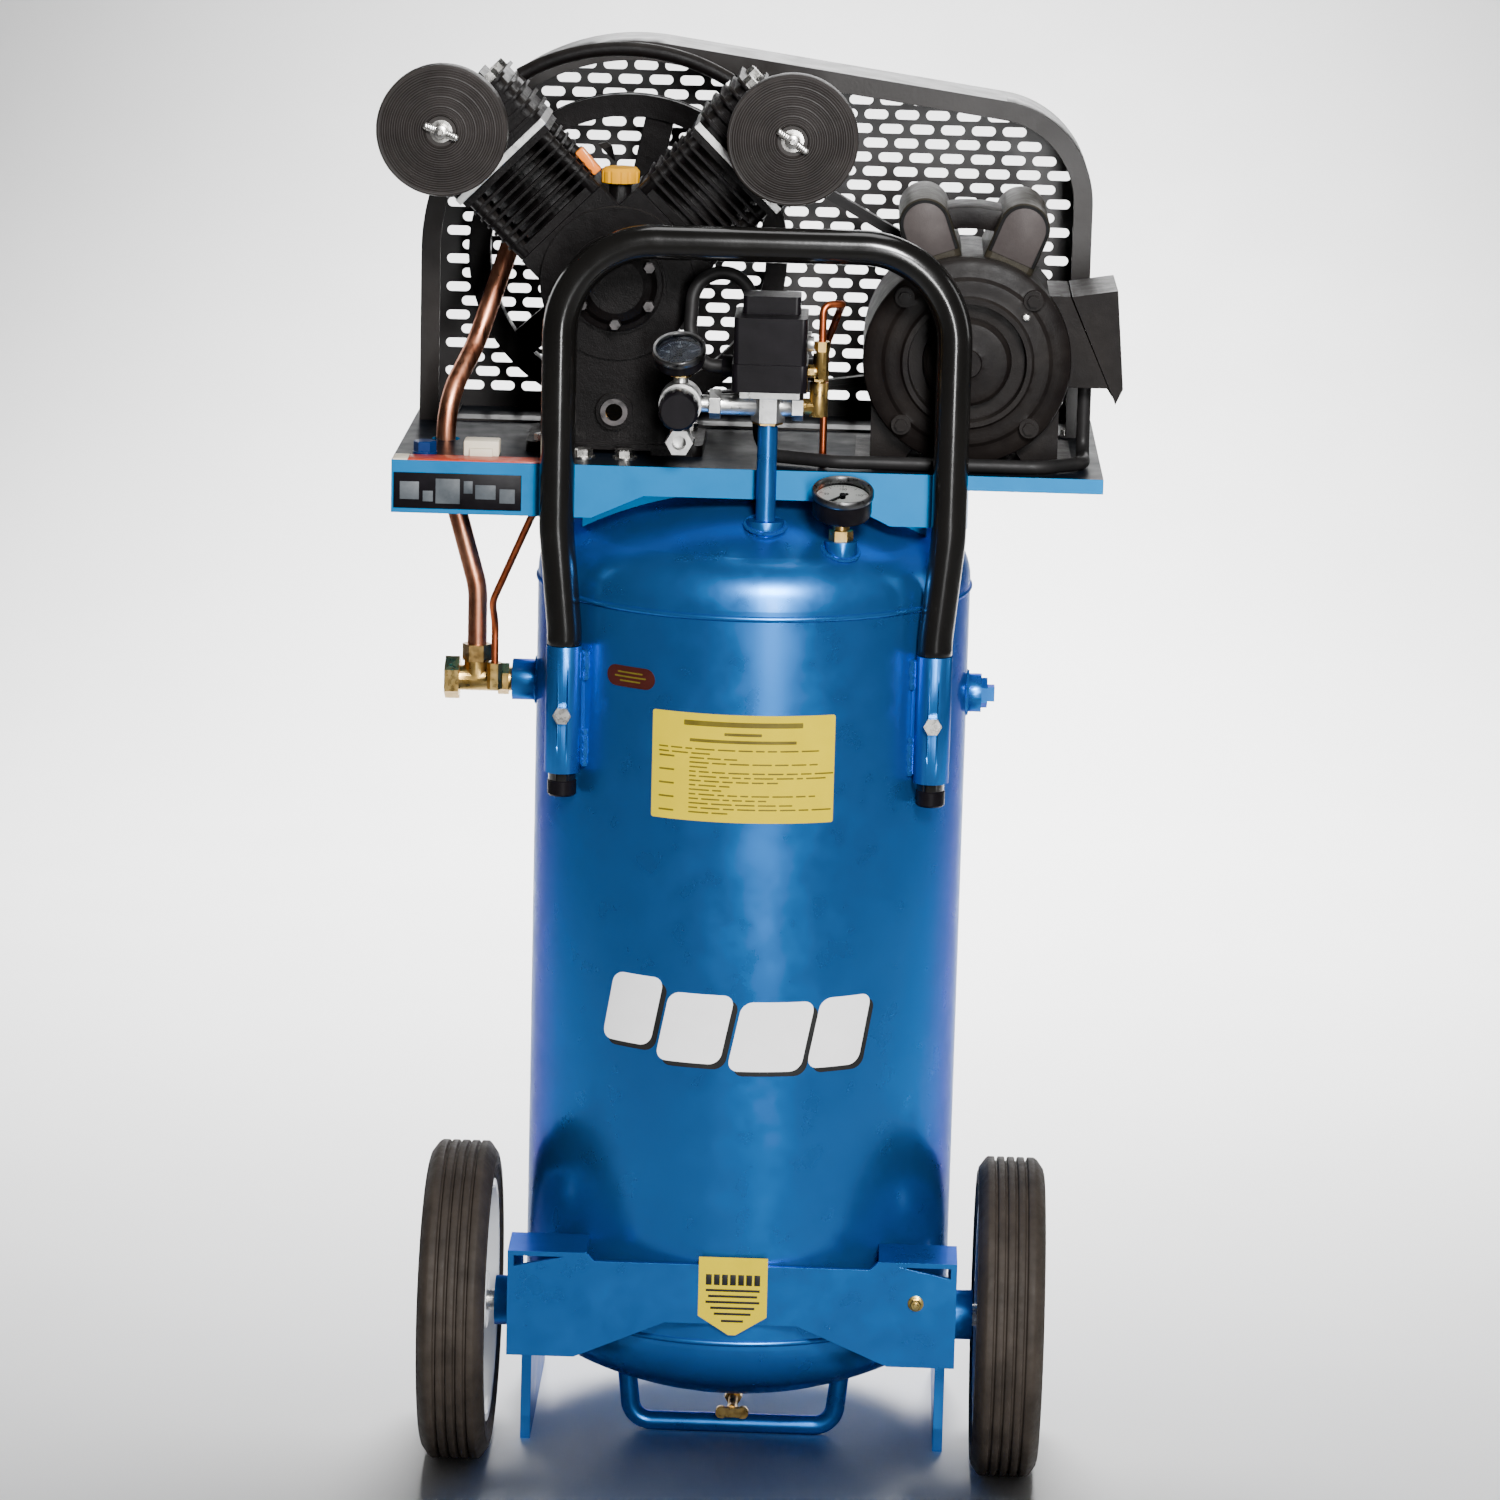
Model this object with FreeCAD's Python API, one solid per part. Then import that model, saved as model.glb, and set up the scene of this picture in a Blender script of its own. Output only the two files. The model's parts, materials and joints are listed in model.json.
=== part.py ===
# Vertical tank air compressor: V-twin pump and motor on a platform over an upright air tank.
# Millimetres. While the solids are made, the tank's axis is X = Y = 0 and the floor is Z = 0.
# +X is to the right for a person at the handle, -Y is the handle's side, +Z is up.
# At the end every solid moves so that the origin is the middle of the whole footprint.
import FreeCAD
import Part
import math
import os

V = FreeCAD.Vector
X, Y, Z = V(1, 0, 0), V(0, 1, 0), V(0, 0, 1)

# Tank
TANK_R = 178.0
TANK_WALL = 3.0
SEAM_LOW = 122.0
SEAM_HIGH = 737.0
HEAD_DEPTH = 80.0
KNUCKLE_R = 45.0
PORT_Z = 640.0
RISER_X, RISER_Y, RISER_R = 10.0, -115.0, 8.0
TANK_GAUGE_X, TANK_GAUGE_Y = 71.0, -130.0

# Stand and wheels
WHEEL_R = 132.0
WHEEL_W = 55.0
WHEEL_X = 227.0
AXLE_Y = -95.0
AXLE_R = 9.0
BRACKET_TOP, BRACKET_BOTTOM = 203.0, 114.0
LEG_INNER, LEG_OUTER = 169.5, 177.8
LEG_FRONT, LEG_BACK = -64.0, 140.0
LOOP_R, LOOP_Y, LOOP_HALF = 8.0, -30.0, 85.0

# Handle
HANDLE_R, HANDLE_WALL = 14.0, 2.0
HANDLE_END_R = 11.0
HANDLE_Y = -122.0
SOCKET_X = 149.0
SOCKET_R = 14.5
SOCKET_LOW, SOCKET_HIGH = 591.0, 695.0
SOCKET_BOLT_Z = 640.0
HANDLE_TOP = 1022.0
HANDLE_HALF = 157.0
HANDLE_BEND = 75.0

# Platform
DECK_TOP = 838.0
DECK_T = 4.0
DECK_LEFT, DECK_RIGHT = -292.0, 280.0
DECK_FRONT, DECK_BACK = -100.0, 200.0
APRON_LOW = 795.0
APRON_END = 172.0

# Pump
CRANK_X, CRANK_Z = -116.0, 978.0
PUMP_Y = 2.0
BANK_ANGLE = 45.0
BORE_R = 25.5
STROKE = 50.0
ROD_OFFSET = 8.0
BARREL_R = 62.0
FIN_HALF = 46.0
CYL_BASE, CYL_TOP = 66.0, 132.0
PLATE_T = 6.0
HEAD_TOP = 198.0
HEAD_HALF = 52.0
BOLT_SEAT = HEAD_TOP - 12.0
INLET_SHIFT, INLET_UP, OUTLET_UP = 11.0, 175.0, 168.0
SHAFT_R = 12.0
FILTER_R = 53.0
FILTER_OUT, FILTER_UP = 139.5, 124.0

# Drive
FLYWHEEL_R = 134.0
BELT_Y = 148.0
BELT_IN, BELT_OUT = 9.0, 0.5
MOTOR_X, MOTOR_Z = 168.0, 924.5
MOTOR_R = 84.0
MOTOR_BOLT_R = 73.0
MOTOR_FRONT, MOTOR_BACK = -75.0, 100.0
PULLEY_R = 42.0
MOTOR_SHAFT_R = 8.0
RUNNING_GAP = 0.05

# Belt guard
GUARD_NEAR, GUARD_FAR = 105.0, 190.0
GUARD_SHEET = 2.0
GUARD_ARC_X, GUARD_ARC_Z, GUARD_ARC_R = -109.5, 982.0, 177.5
GUARD_END_X, GUARD_END_Z, GUARD_END_R = 185.0, 1033.0, 86.0
GUARD_FLANGE = 16.0

# Controls
MANIFOLD_Z = 893.0
MANIFOLD_LEFT, MANIFOLD_RIGHT = -37.0, 38.0
SWITCH_X = 11.0
SWITCH_LOW, SWITCH_HIGH = 908.0, 967.0
LEVER_Z = 947.0
REGULATOR_X = -60.0
OUTLET_Z, OUTLET_REACH = 863.0, 16.0
SAFETY_X, SAFETY_TOP = 50.0, 936.0
UNLOADER_FRONT_X, UNLOADER_FRONT_Y = 52.0, -139.0
CHECK_X = -228.0

# Tubes and leads
TUBE_R, TUBE_WALL = 8.0, 1.5
SMALL_TUBE_R = 3.0
CROSSOVER_R = 6.0
DISCHARGE_X, DISCHARGE_Y = -257.0, 12.0
UNLOADER_X, UNLOADER_Y = 54.0, -70.0
LEAD_R = 5.5
LEAD_START_Y = RISER_Y + 24.0
LEAD_END_X, LEAD_END_Y = MOTOR_X + 97.0, -20.0
SMALL_PORT_X, SMALL_PORT_Y = 16.0, -18.0

# Feet on the deck
PUMP_FOOT_X, PUMP_FOOT_Y = 58.0, 38.0
MOTOR_FOOT_X, MOTOR_FOOT_Y = 68.0, 42.0
MOTOR_MID_Y = 12.0


# ---------------------------------------------------------------- helpers
def box(x0, x1, y0, y1, z0, z1):
    return Part.makeBox(x1 - x0, y1 - y0, z1 - z0, V(x0, y0, z0))


def rod(start, direction, radius, length):
    return Part.makeCylinder(radius, length, V(*start), direction)


def tube(start, direction, outer, inner, length):
    return rod(start, direction, outer, length).cut(rod(start, direction, inner, length))


def fuse(*shapes):
    whole = shapes[0].fuse(list(shapes[1:]))
    return whole.removeSplitter()


def group(*shapes):
    solids = []
    for shape in shapes:
        solids.extend(shape.Solids)
    return Part.makeCompound(solids)


def mirrored_x(shape):
    return shape.mirror(V(0, 0, 0), X)


def turned_profile(points, start, axis):
    """Revolve (radius, height) points about an axis that starts at start."""
    face = Part.Face(Part.makePolygon([V(r, 0, h) for r, h in points + points[:1]]))
    solid = face.revolve(V(0, 0, 0), Z, 360)
    solid.Placement = FreeCAD.Placement(V(*start), FreeCAD.Rotation(Z, axis))
    return solid


def plate_xz(points, y0, y1):
    face = Part.Face(Part.makePolygon([V(x, y0, z) for x, z in points + points[:1]]))
    return face.extrude(V(0, y1 - y0, 0))


def plate_yz(points, x0, x1):
    face = Part.Face(Part.makePolygon([V(x0, y, z) for y, z in points + points[:1]]))
    return face.extrude(V(x1 - x0, 0, 0))


def soften(shape, radius, wanted):
    """Fillet the edges that wanted(edge) picks."""
    return shape.makeFillet(radius, [e for e in shape.Edges if wanted(e)])


def along(edge, axis):
    """True for a straight edge that runs along the axis."""
    if edge.Curve.TypeId != "Part::GeomLine":
        return False
    return abs(abs(edge.Curve.Direction.dot(axis)) - 1) < 1e-6


def bent_wire(points, radii):
    """Straight runs through points, joined by tangent arcs of the given radii."""
    points = [V(*p) for p in points]
    edges = []
    last = points[0]
    for before, corner, after, radius in zip(points, points[1:], points[2:], radii):
        into = (corner - before).normalize()
        out = (after - corner).normalize()
        half_turn = into.getAngle(out) / 2
        reach = radius * math.tan(half_turn)
        start, end = corner - into * reach, corner + out * reach
        inward = (out - into).normalize()
        middle = corner + inward * (radius / math.cos(half_turn) - radius)
        if (start - last).Length > 1e-6:
            edges.append(Part.LineSegment(last, start).toShape())
        edges.append(Part.Arc(start, middle, end).toShape())
        last = end
    edges.append(Part.LineSegment(last, points[-1]).toShape())
    return Part.Wire(edges)


def pipe(points, radii, outer, inner=0.0):
    """A round bar or tube that follows bent_wire."""
    path = bent_wire(points, radii)
    first = V(*points[1]) - V(*points[0])

    def sweep(radius):
        ring = Part.Wire(Part.makeCircle(radius, V(*points[0]), first))
        return path.makePipeShell([ring], True, False)

    solid = sweep(outer)
    if inner:
        solid = solid.cut(sweep(inner))
    expected = math.pi * (outer ** 2 - inner ** 2) * path.Length
    if abs(solid.Volume / expected - 1) > 0.02:
        raise ValueError("pipe volume is off by more than 2 %")
    return solid


def hexagon(start, direction, across, length):
    corner = across / math.sqrt(3)
    points = [V(corner * math.cos(a), corner * math.sin(a), 0)
              for a in (math.radians(60 * k) for k in range(7))]
    solid = Part.Face(Part.makePolygon(points)).extrude(Z * length)
    solid.Placement = FreeCAD.Placement(V(*start), FreeCAD.Rotation(Z, direction))
    return solid


def bolt(seat, direction, radius, shank, head_across=None, head_height=None):
    """A hexagon bolt: its head stands on the seat, its shank goes the other way."""
    across = head_across or radius * 3.2
    height = head_height or radius * 1.3
    head = hexagon(seat, direction, across, height)
    return fuse(head, rod(seat, -direction, radius, shank))


def crown_radius(radius, depth, knuckle):
    """Radius of a dished head's middle, from its depth and the radius of its rolled edge."""
    flat = radius - knuckle
    return (depth ** 2 - knuckle ** 2 + flat ** 2) / (2 * (depth - knuckle))


def dome_height(x, y):
    """Height of the upper head's outside over a point of the floor, inside its rolled edge."""
    crown = crown_radius(TANK_R, HEAD_DEPTH, KNUCKLE_R)
    return SEAM_HIGH + HEAD_DEPTH - crown + math.sqrt(crown ** 2 - x * x - y * y)


def pod(inset):
    """The tank's outline turned about Z: a barrel with a dished head at each end."""
    radius, depth, knuckle = TANK_R - inset, HEAD_DEPTH - inset, KNUCKLE_R - inset
    crown = crown_radius(radius, depth, knuckle)
    lean = math.asin((radius - knuckle) / (crown - knuckle))

    def head(seam, up):
        """Edge points of one head: pole, crown's middle, joint, knuckle's middle, seam."""
        centre = depth - crown
        spots = [(crown * math.sin(a), centre + crown * math.cos(a)) for a in (0, lean / 2, lean)]
        bend = math.radians(90) - lean
        spots += [(radius - knuckle + knuckle * math.cos(a), knuckle * math.sin(a)) for a in (bend / 2, 0)]
        return [V(r, 0, seam + up * h) for r, h in spots]

    low, high = head(SEAM_LOW, -1), head(SEAM_HIGH, 1)
    edges = [Part.Arc(*low[0:3]), Part.Arc(*low[2:5]), Part.LineSegment(low[4], high[4]),
             Part.Arc(*high[4:1:-1]), Part.Arc(*high[2::-1]), Part.LineSegment(high[0], low[0])]
    face = Part.Face(Part.Wire([edge.toShape() for edge in edges]))
    return face.revolve(V(0, 0, 0), Z, 360)


# ---------------------------------------------------------------- tank
TANK_SOLID = pod(0)


def tank_shell():
    shell = TANK_SOLID.cut(pod(TANK_WALL))
    beads = [Part.makeTorus(TANK_R - 0.6, 2.4, V(0, 0, z), Z) for z in (SEAM_LOW + 6, SEAM_HIGH - 6)]
    ports = [rod((-TANK_R - 5, 0, PORT_Z), X, 10, 20), rod((TANK_R - 15, 0, PORT_Z), X, 9, 20),
             rod((RISER_X, RISER_Y, SEAM_HIGH), Z, RISER_R, 90),
             rod((TANK_GAUGE_X, TANK_GAUGE_Y, SEAM_HIGH), Z, 7, 90), rod((0, 0, 30), Z, 6.5, 30)]
    return fuse(shell, *beads).cut(Part.makeCompound(ports))


def tank_bungs():
    left = tube((-TANK_R - 20, 0, PORT_Z), X, 17, 10, 30)
    right = tube((TANK_R - 10, 0, PORT_Z), X, 16, 9, 22)
    plug = fuse(rod((TANK_R + 4, 0, PORT_Z), X, 8.9, 12), hexagon((TANK_R + 12, 0, PORT_Z), X, 22, 5),
                box(TANK_R + 17, TANK_R + 23, -6, 6, PORT_Z - 6, PORT_Z + 6))
    riser_base = dome_height(RISER_X, RISER_Y)
    riser = tube((RISER_X, RISER_Y, riser_base - 12), Z, 15, RISER_R, 17)
    gauge_base = dome_height(TANK_GAUGE_X, TANK_GAUGE_Y)
    gauge = tube((TANK_GAUGE_X, TANK_GAUGE_Y, gauge_base - 12), Z, 13, 7, 20)
    drain = tube((0, 0, 33), Z, 13, 6.5, 14)
    return group(*[part.cut(TANK_SOLID) for part in (left, right, riser, gauge, drain)], plug)


DRAIN_Z = 24.0
KNOB_Y = -52.0


def drain_valve():
    stem = rod((0, 0, DRAIN_Z), Z, 6.4, SEAM_LOW - HEAD_DEPTH - DRAIN_Z - 0.5)
    body = hexagon((0, 8, DRAIN_Z), -Y, 13, 20)
    barrel = rod((0, -11, DRAIN_Z), -Y, 4, 28)
    nozzle = rod((0, 0, DRAIN_Z - 13), Z, 3.5, 10)
    return fuse(stem, body, barrel, nozzle).cut(rod((0, -39.5, DRAIN_Z), Y, 2.05, 25))


def drain_knob():
    pin = rod((0, KNOB_Y + 4, DRAIN_Z), Y, 2, 30)
    hub = rod((0, KNOB_Y + 4.5, DRAIN_Z), Y, 5, 7.5)
    wings = []
    for side in (-1, 1):
        wings.append(rod((side * 9, KNOB_Y, DRAIN_Z), Y, 5, 5))
        wings.append(box(min(0, side * 9), max(0, side * 9), KNOB_Y, KNOB_Y + 5, DRAIN_Z - 4, DRAIN_Z + 4))
    return fuse(pin, hub, *wings)


def drain_guard():
    top = SEAM_LOW - 40
    loop = pipe([(-LOOP_HALF - 8, LOOP_Y, top), (-LOOP_HALF, LOOP_Y, LOOP_R), (LOOP_HALF, LOOP_Y, LOOP_R),
                 (LOOP_HALF + 8, LOOP_Y, top)], [18, 18], LOOP_R)
    return loop.cut(TANK_SOLID)


# ---------------------------------------------------------------- stand
def axle_bracket():
    front = TANK_R + 4
    outline = [(-TANK_R, BRACKET_BOTTOM), (-128, BRACKET_BOTTOM), (-54, 146), (54, 146),
               (128, BRACKET_BOTTOM), (TANK_R, BRACKET_BOTTOM), (TANK_R, 190), (119, BRACKET_TOP),
               (112, 196), (-112, 196), (-119, BRACKET_TOP), (-TANK_R, 190)]
    parts = [plate_xz(outline, -front, -TANK_R)]
    cheek = [(-front, BRACKET_BOTTOM), (AXLE_Y + 45, BRACKET_BOTTOM), (AXLE_Y + 45, 165),
             (-TANK_R + 46, BRACKET_TOP), (-front, BRACKET_TOP)]
    for side in (-1, 1):
        inner, outer = sorted((side * TANK_R, side * (TANK_R + 5)))
        parts.append(plate_yz(cheek, inner, outer))
        low, high = sorted((side * 119, side * TANK_R))
        parts.append(box(low, high, -front, -TANK_R + 46, BRACKET_TOP - 4, BRACKET_TOP))
        parts.append(rod((side * TANK_R, AXLE_Y, WHEEL_R), X * side, 20.5, 20))
    whole = fuse(*parts).cut(TANK_SOLID)
    bores = rod((-300, AXLE_Y, WHEEL_R), X, AXLE_R + 0.1, 600)
    return whole.cut(bores)


def support_legs():
    outline = [(LEG_FRONT, 0), (LEG_BACK, 0), (LEG_BACK, 14),
               (60, 112), (LEG_FRONT + 8, 112), (LEG_FRONT, 20)]
    window = rod((LEG_INNER - 5, 62, 48), X, 14, 30)
    leg = plate_yz(outline, LEG_INNER, LEG_OUTER).cut(TANK_SOLID).cut(window)
    return group(leg, mirrored_x(leg))


def stub_axle():
    """A stub axle for the right-hand wheel, held in its sleeve, with an end cap."""
    shaft = rod((TANK_R - 12, AXLE_Y, WHEEL_R), X, AXLE_R, 82)
    collar = rod((TANK_R - 12, AXLE_Y, WHEEL_R), X, 13, 7)
    cap = tube((WHEEL_X + 21, AXLE_Y, WHEEL_R), X, 15, AXLE_R + 0.02, 8)
    cap = fuse(cap, rod((WHEEL_X + 21.5, AXLE_Y, WHEEL_R), X, 15, 0.1).cut(
        rod((WHEEL_X + 21.5, AXLE_Y, WHEEL_R), X, AXLE_R + 0.02, 0.1)))
    return fuse(shaft, collar), cap


def stub_axles():
    shaft, cap = stub_axle()
    return group(shaft, cap, mirrored_x(shaft), mirrored_x(cap))


def tyre(side):
    """Hollow-crowned rubber tyre with straight ribs."""
    half = WHEEL_W / 2
    inner = WHEEL_R - 34
    profile = [(inner, -half + 7), (inner + 16, -half), (WHEEL_R - 9, -half + 1), (WHEEL_R - 2, -half + 6)]
    ribs = 5
    pitch = (WHEEL_W - 14) / ribs
    for rib in range(ribs):
        start = -half + 7 + rib * pitch
        profile += [(WHEEL_R, start + 1), (WHEEL_R, start + pitch - 1.8)]
        if rib < ribs - 1:
            profile += [(WHEEL_R - 3.5, start + pitch - 1.4), (WHEEL_R - 3.5, start + pitch + 0.4)]
    profile += [(WHEEL_R - 2, half - 6), (WHEEL_R - 9, half - 1), (inner + 16, half), (inner, half - 7)]
    solid = turned_profile(profile, (WHEEL_X, AXLE_Y, WHEEL_R), X)
    return solid if side > 0 else mirrored_x(solid)


def rim(side):
    """Pressed rim: a rolled band, a dished disc and a hub with its bush."""
    half = WHEEL_W / 2
    seat = WHEEL_R - 34
    band = [(seat - 0.05, -half + 6), (seat - 0.05, half - 6), (seat + 3, half - 2.5), (seat - 3, half - 2.5),
            (seat - 4, half - 7), (seat - 4, -half + 7), (seat - 3, -half + 2.5), (seat + 3, -half + 2.5)]
    band_solid = turned_profile(band, (WHEEL_X, AXLE_Y, WHEEL_R), X)
    disc = [(seat - 3, -1.5), (62, -1.5), (54, 7), (30, 7), (24, -2), (24, -22.5), (13, -22.5), (13, 20.5),
            (24, 20.5), (24, 12), (30, 10), (55, 10), (64, 1.5), (seat - 3, 1.5)]
    disc_solid = turned_profile(disc, (WHEEL_X, AXLE_Y, WHEEL_R), X)
    slots = []
    for k in range(5):
        slot = rod((WHEEL_X - 20, AXLE_Y, WHEEL_R + 76), X, 8, 40)
        slot.rotate(V(WHEEL_X, AXLE_Y, WHEEL_R), X, 72 * k)
        slots.append(slot)
    body = fuse(band_solid, disc_solid).cut(Part.makeCompound(slots))
    body = body.cut(tyre(1))
    bush = tube((WHEEL_X - 22.5, AXLE_Y, WHEEL_R), X, 13, AXLE_R + RUNNING_GAP, 43)
    both = group(body, bush)
    return both if side > 0 else mirrored_x(both)


# ---------------------------------------------------------------- handle
def handle():
    """Bent tube; on each side a slimmer lower end fits the socket up to a shoulder."""
    low, shoulder = SOCKET_LOW - 19, SOCKET_HIGH + 0.3
    route = [(-SOCKET_X, HANDLE_Y, shoulder), (-SOCKET_X, HANDLE_Y, shoulder + 12),
             (-HANDLE_HALF, HANDLE_Y, shoulder + 95), (-HANDLE_HALF, HANDLE_Y, HANDLE_TOP),
             (HANDLE_HALF, HANDLE_Y, HANDLE_TOP), (HANDLE_HALF, HANDLE_Y, shoulder + 95),
             (SOCKET_X, HANDLE_Y, shoulder + 12), (SOCKET_X, HANDLE_Y, shoulder)]
    radii = [150, 150, HANDLE_BEND, HANDLE_BEND, 150, 150]
    whole = pipe(route, radii, HANDLE_R, HANDLE_R - HANDLE_WALL)
    for side in (-1, 1):
        ring = rod((side * SOCKET_X, HANDLE_Y, shoulder), Z, HANDLE_R, 3)
        end = rod((side * SOCKET_X, HANDLE_Y, low), Z, HANDLE_END_R, shoulder + 3 - low)
        bore = rod((side * SOCKET_X, HANDLE_Y, low - 1), Z, HANDLE_END_R - HANDLE_WALL, shoulder + 5 - low)
        whole = fuse(whole, ring, end).cut(bore)
    return whole.cut(handle_bolt_holes())


def handle_bolt_holes():
    holes = [rod((side * SOCKET_X, HANDLE_Y - 40, SOCKET_BOLT_Z), Y, 3.6, 80) for side in (-1, 1)]
    return Part.makeCompound(holes)


def handle_sockets():
    """A sleeve on each side, with a web that is welded to the tank."""
    sockets = []
    inner = HANDLE_END_R + 0.2
    for side in (-1, 1):
        sleeve = rod((side * SOCKET_X, HANDLE_Y, SOCKET_LOW), Z, SOCKET_R, SOCKET_HIGH - SOCKET_LOW)
        web = box(-10, 10, 8, 20, SOCKET_LOW + 6, SOCKET_HIGH - 4)
        web.rotate(V(0, 0, 0), Z, side * 50)
        web.translate(V(side * SOCKET_X, HANDLE_Y, 0))
        bore = rod((side * SOCKET_X, HANDLE_Y, SOCKET_LOW - 5), Z, inner, 120)
        sockets.append(fuse(sleeve, web).cut(bore).cut(TANK_SOLID).cut(handle_bolt_holes()))
    return group(*sockets)


# ---------------------------------------------------------------- platform
def apron_outline():
    arch = [(-130, APRON_LOW), (-88, 814), (70, 814), (110, APRON_LOW)]
    left = [(DECK_LEFT, DECK_TOP), (DECK_LEFT, APRON_LOW)]
    right = [(APRON_END, APRON_LOW), (APRON_END, DECK_TOP - 12), (DECK_RIGHT, DECK_TOP - 12),
             (DECK_RIGHT, DECK_TOP)]
    return left + arch + right


def platform():
    under = DECK_TOP - DECK_T
    deck = box(DECK_LEFT, DECK_RIGHT, DECK_FRONT, DECK_BACK, under, DECK_TOP)
    apron = plate_xz(apron_outline(), DECK_FRONT, DECK_FRONT + DECK_T)
    back = box(DECK_LEFT, DECK_RIGHT, DECK_BACK - DECK_T, DECK_BACK, DECK_TOP - 30, under)
    left = box(DECK_LEFT, DECK_LEFT + DECK_T, DECK_FRONT, DECK_BACK, DECK_TOP - 30, under)
    right = box(DECK_RIGHT - DECK_T, DECK_RIGHT, DECK_FRONT, DECK_BACK, DECK_TOP - 12, under)
    ribs = [box(-140, 140, y, y + DECK_T, 770, under) for y in (-54, 96)]
    whole = fuse(deck, apron, back, left, right, *ribs).cut(TANK_SOLID)
    holes = [rod((DISCHARGE_X, DISCHARGE_Y, under - 5), Z, 11.5, 20),
             rod((UNLOADER_X, UNLOADER_Y, under - 5), Z, 6, 20)]
    holes += [rod((x, y, under - 5), Z, 4.2, 20) for x, y in foot_bolts()]
    return whole.cut(Part.makeCompound(holes))


def foot_bolts():
    """Where the pump's and the motor's feet are bolted to the deck."""
    spots = []
    for side in (-1, 1):
        for end in (-1, 1):
            spots.append((CRANK_X + side * PUMP_FOOT_X, PUMP_Y + end * PUMP_FOOT_Y))
            spots.append((MOTOR_X + side * MOTOR_FOOT_X, MOTOR_MID_Y + end * MOTOR_FOOT_Y))
    return spots


def hex_bolts():
    """Bolts of the feet, the handle's sockets, the belt guard and the cylinder heads."""
    bolts = []
    for x, y in foot_bolts():
        seat = DECK_TOP + (9 if x < 0 else 4)
        bolts.append(bolt((x, y, seat), Z, 4, seat - DECK_TOP + DECK_T + 8))
    for side in (-1, 1):
        seat = HANDLE_Y - SOCKET_R
        bolts.append(bolt((side * SOCKET_X, seat, SOCKET_BOLT_Z), -Y, 3.5, 2 * SOCKET_R + 0.5, 13, 5))
    for x in (GUARD_LEFT + 14, 0, GUARD_RIGHT - 14):
        bolts.append(bolt((x, GUARD_NEAR + 8, DECK_TOP + GUARD_SHEET), Z, 3, GUARD_SHEET, 10, 4))
    for side in (-1, 1):
        for a, b in ((-41, -41), (-41, 41), (41, -41), (41, 41)):
            bolts.append(on_bank(hexagon((a, b, BOLT_SEAT), Z, 12, 7), side))
    return group(*bolts)


# ---------------------------------------------------------------- pump
def on_bank(shape, side, y_shift=0.0):
    """Tilt a piece made upright over the crank axis onto one cylinder bank."""
    placed = shape.copy()
    placed.rotate(V(0, 0, 0), Y, side * BANK_ANGLE)
    placed.translate(V(CRANK_X, PUMP_Y + y_shift, CRANK_Z))
    return placed


def crankcase():
    barrel = rod((CRANK_X, PUMP_Y - 50, CRANK_Z), Y, BARREL_R, 116)
    sump = box(CRANK_X - 48, CRANK_X + 48, PUMP_Y - 46, PUMP_Y + 60, DECK_TOP + 9, CRANK_Z - 20)
    sump = soften(sump, 12, lambda e: along(e, Z))
    foot = box(CRANK_X - 72, CRANK_X + 72, PUMP_Y - 48, PUMP_Y + 48, DECK_TOP, DECK_TOP + 9)
    foot = soften(foot, 8, lambda e: along(e, Z))
    arch = box(CRANK_X - 30, CRANK_X + 30, PUMP_Y - 60, PUMP_Y + 60, DECK_TOP, DECK_TOP + 4)
    decks = [on_bank(box(-44, 44, -44, 44, 30, CYL_BASE - 0.5), side) for side in (-1, 1)]
    cover_pad = rod((CRANK_X, PUMP_Y - 54, CRANK_Z), Y, 40, 6)
    neck = rod((CRANK_X, PUMP_Y - 22, CRANK_Z + 40), Z, 9, 38)
    glass_boss = rod((CRANK_X, PUMP_Y - 52, CRANK_Z - 104), Y, 15, 8)
    whole = fuse(barrel, sump, foot, *decks, cover_pad, neck, glass_boss).cut(arch)
    cavity = rod((CRANK_X, PUMP_Y - 40, CRANK_Z), Y, BARREL_R - 8, 96)
    oil_space = box(CRANK_X - 40, CRANK_X + 40, PUMP_Y - 38, PUMP_Y + 52, DECK_TOP + 17, CRANK_Z)
    cuts = [cavity, oil_space, rod((CRANK_X, PUMP_Y - 60, CRANK_Z), Y, 26, 140)]
    cuts += [on_bank(rod((0, 0, 20), Z, 31, 60), side, -side * ROD_OFFSET) for side in (-1, 1)]
    cuts += [rod((x, y, DECK_TOP - 1), Z, 4.2, 12) for x, y in foot_bolts() if x < 0]
    cuts.append(rod((CRANK_X, PUMP_Y - 22, CRANK_Z + 30), Z, 5, 60))
    cuts.append(rod((CRANK_X, PUMP_Y - 60, CRANK_Z - 104), Y, 8, 30))
    return whole.cut(Part.makeCompound(cuts))


def bearing_cover():
    """Domed round cap over the front main bearing."""
    y = PUMP_Y - 54
    outside = [(0, 0), (0, 13), (22, 13), (29, 10), (33, 4), (38, 3), (38, 0)]
    cap = turned_profile(outside, (CRANK_X, y, CRANK_Z), -Y)
    cap = cap.cut(rod((CRANK_X, y, CRANK_Z), -Y, 18, 6))
    spigot = tube((CRANK_X, y, CRANK_Z), Y, 25.9, 18, 8)
    return fuse(cap, spigot)


def sight_glass():
    y = PUMP_Y - 52
    ring = tube((CRANK_X, y, CRANK_Z - 104), -Y, 11, 7, 4)
    lens = rod((CRANK_X, y + 7, CRANK_Z - 104), -Y, 7, 10)
    seat = tube((CRANK_X, y + 7, CRANK_Z - 104), -Y, 8, 7, 7)
    return group(fuse(ring, seat), lens)


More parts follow.
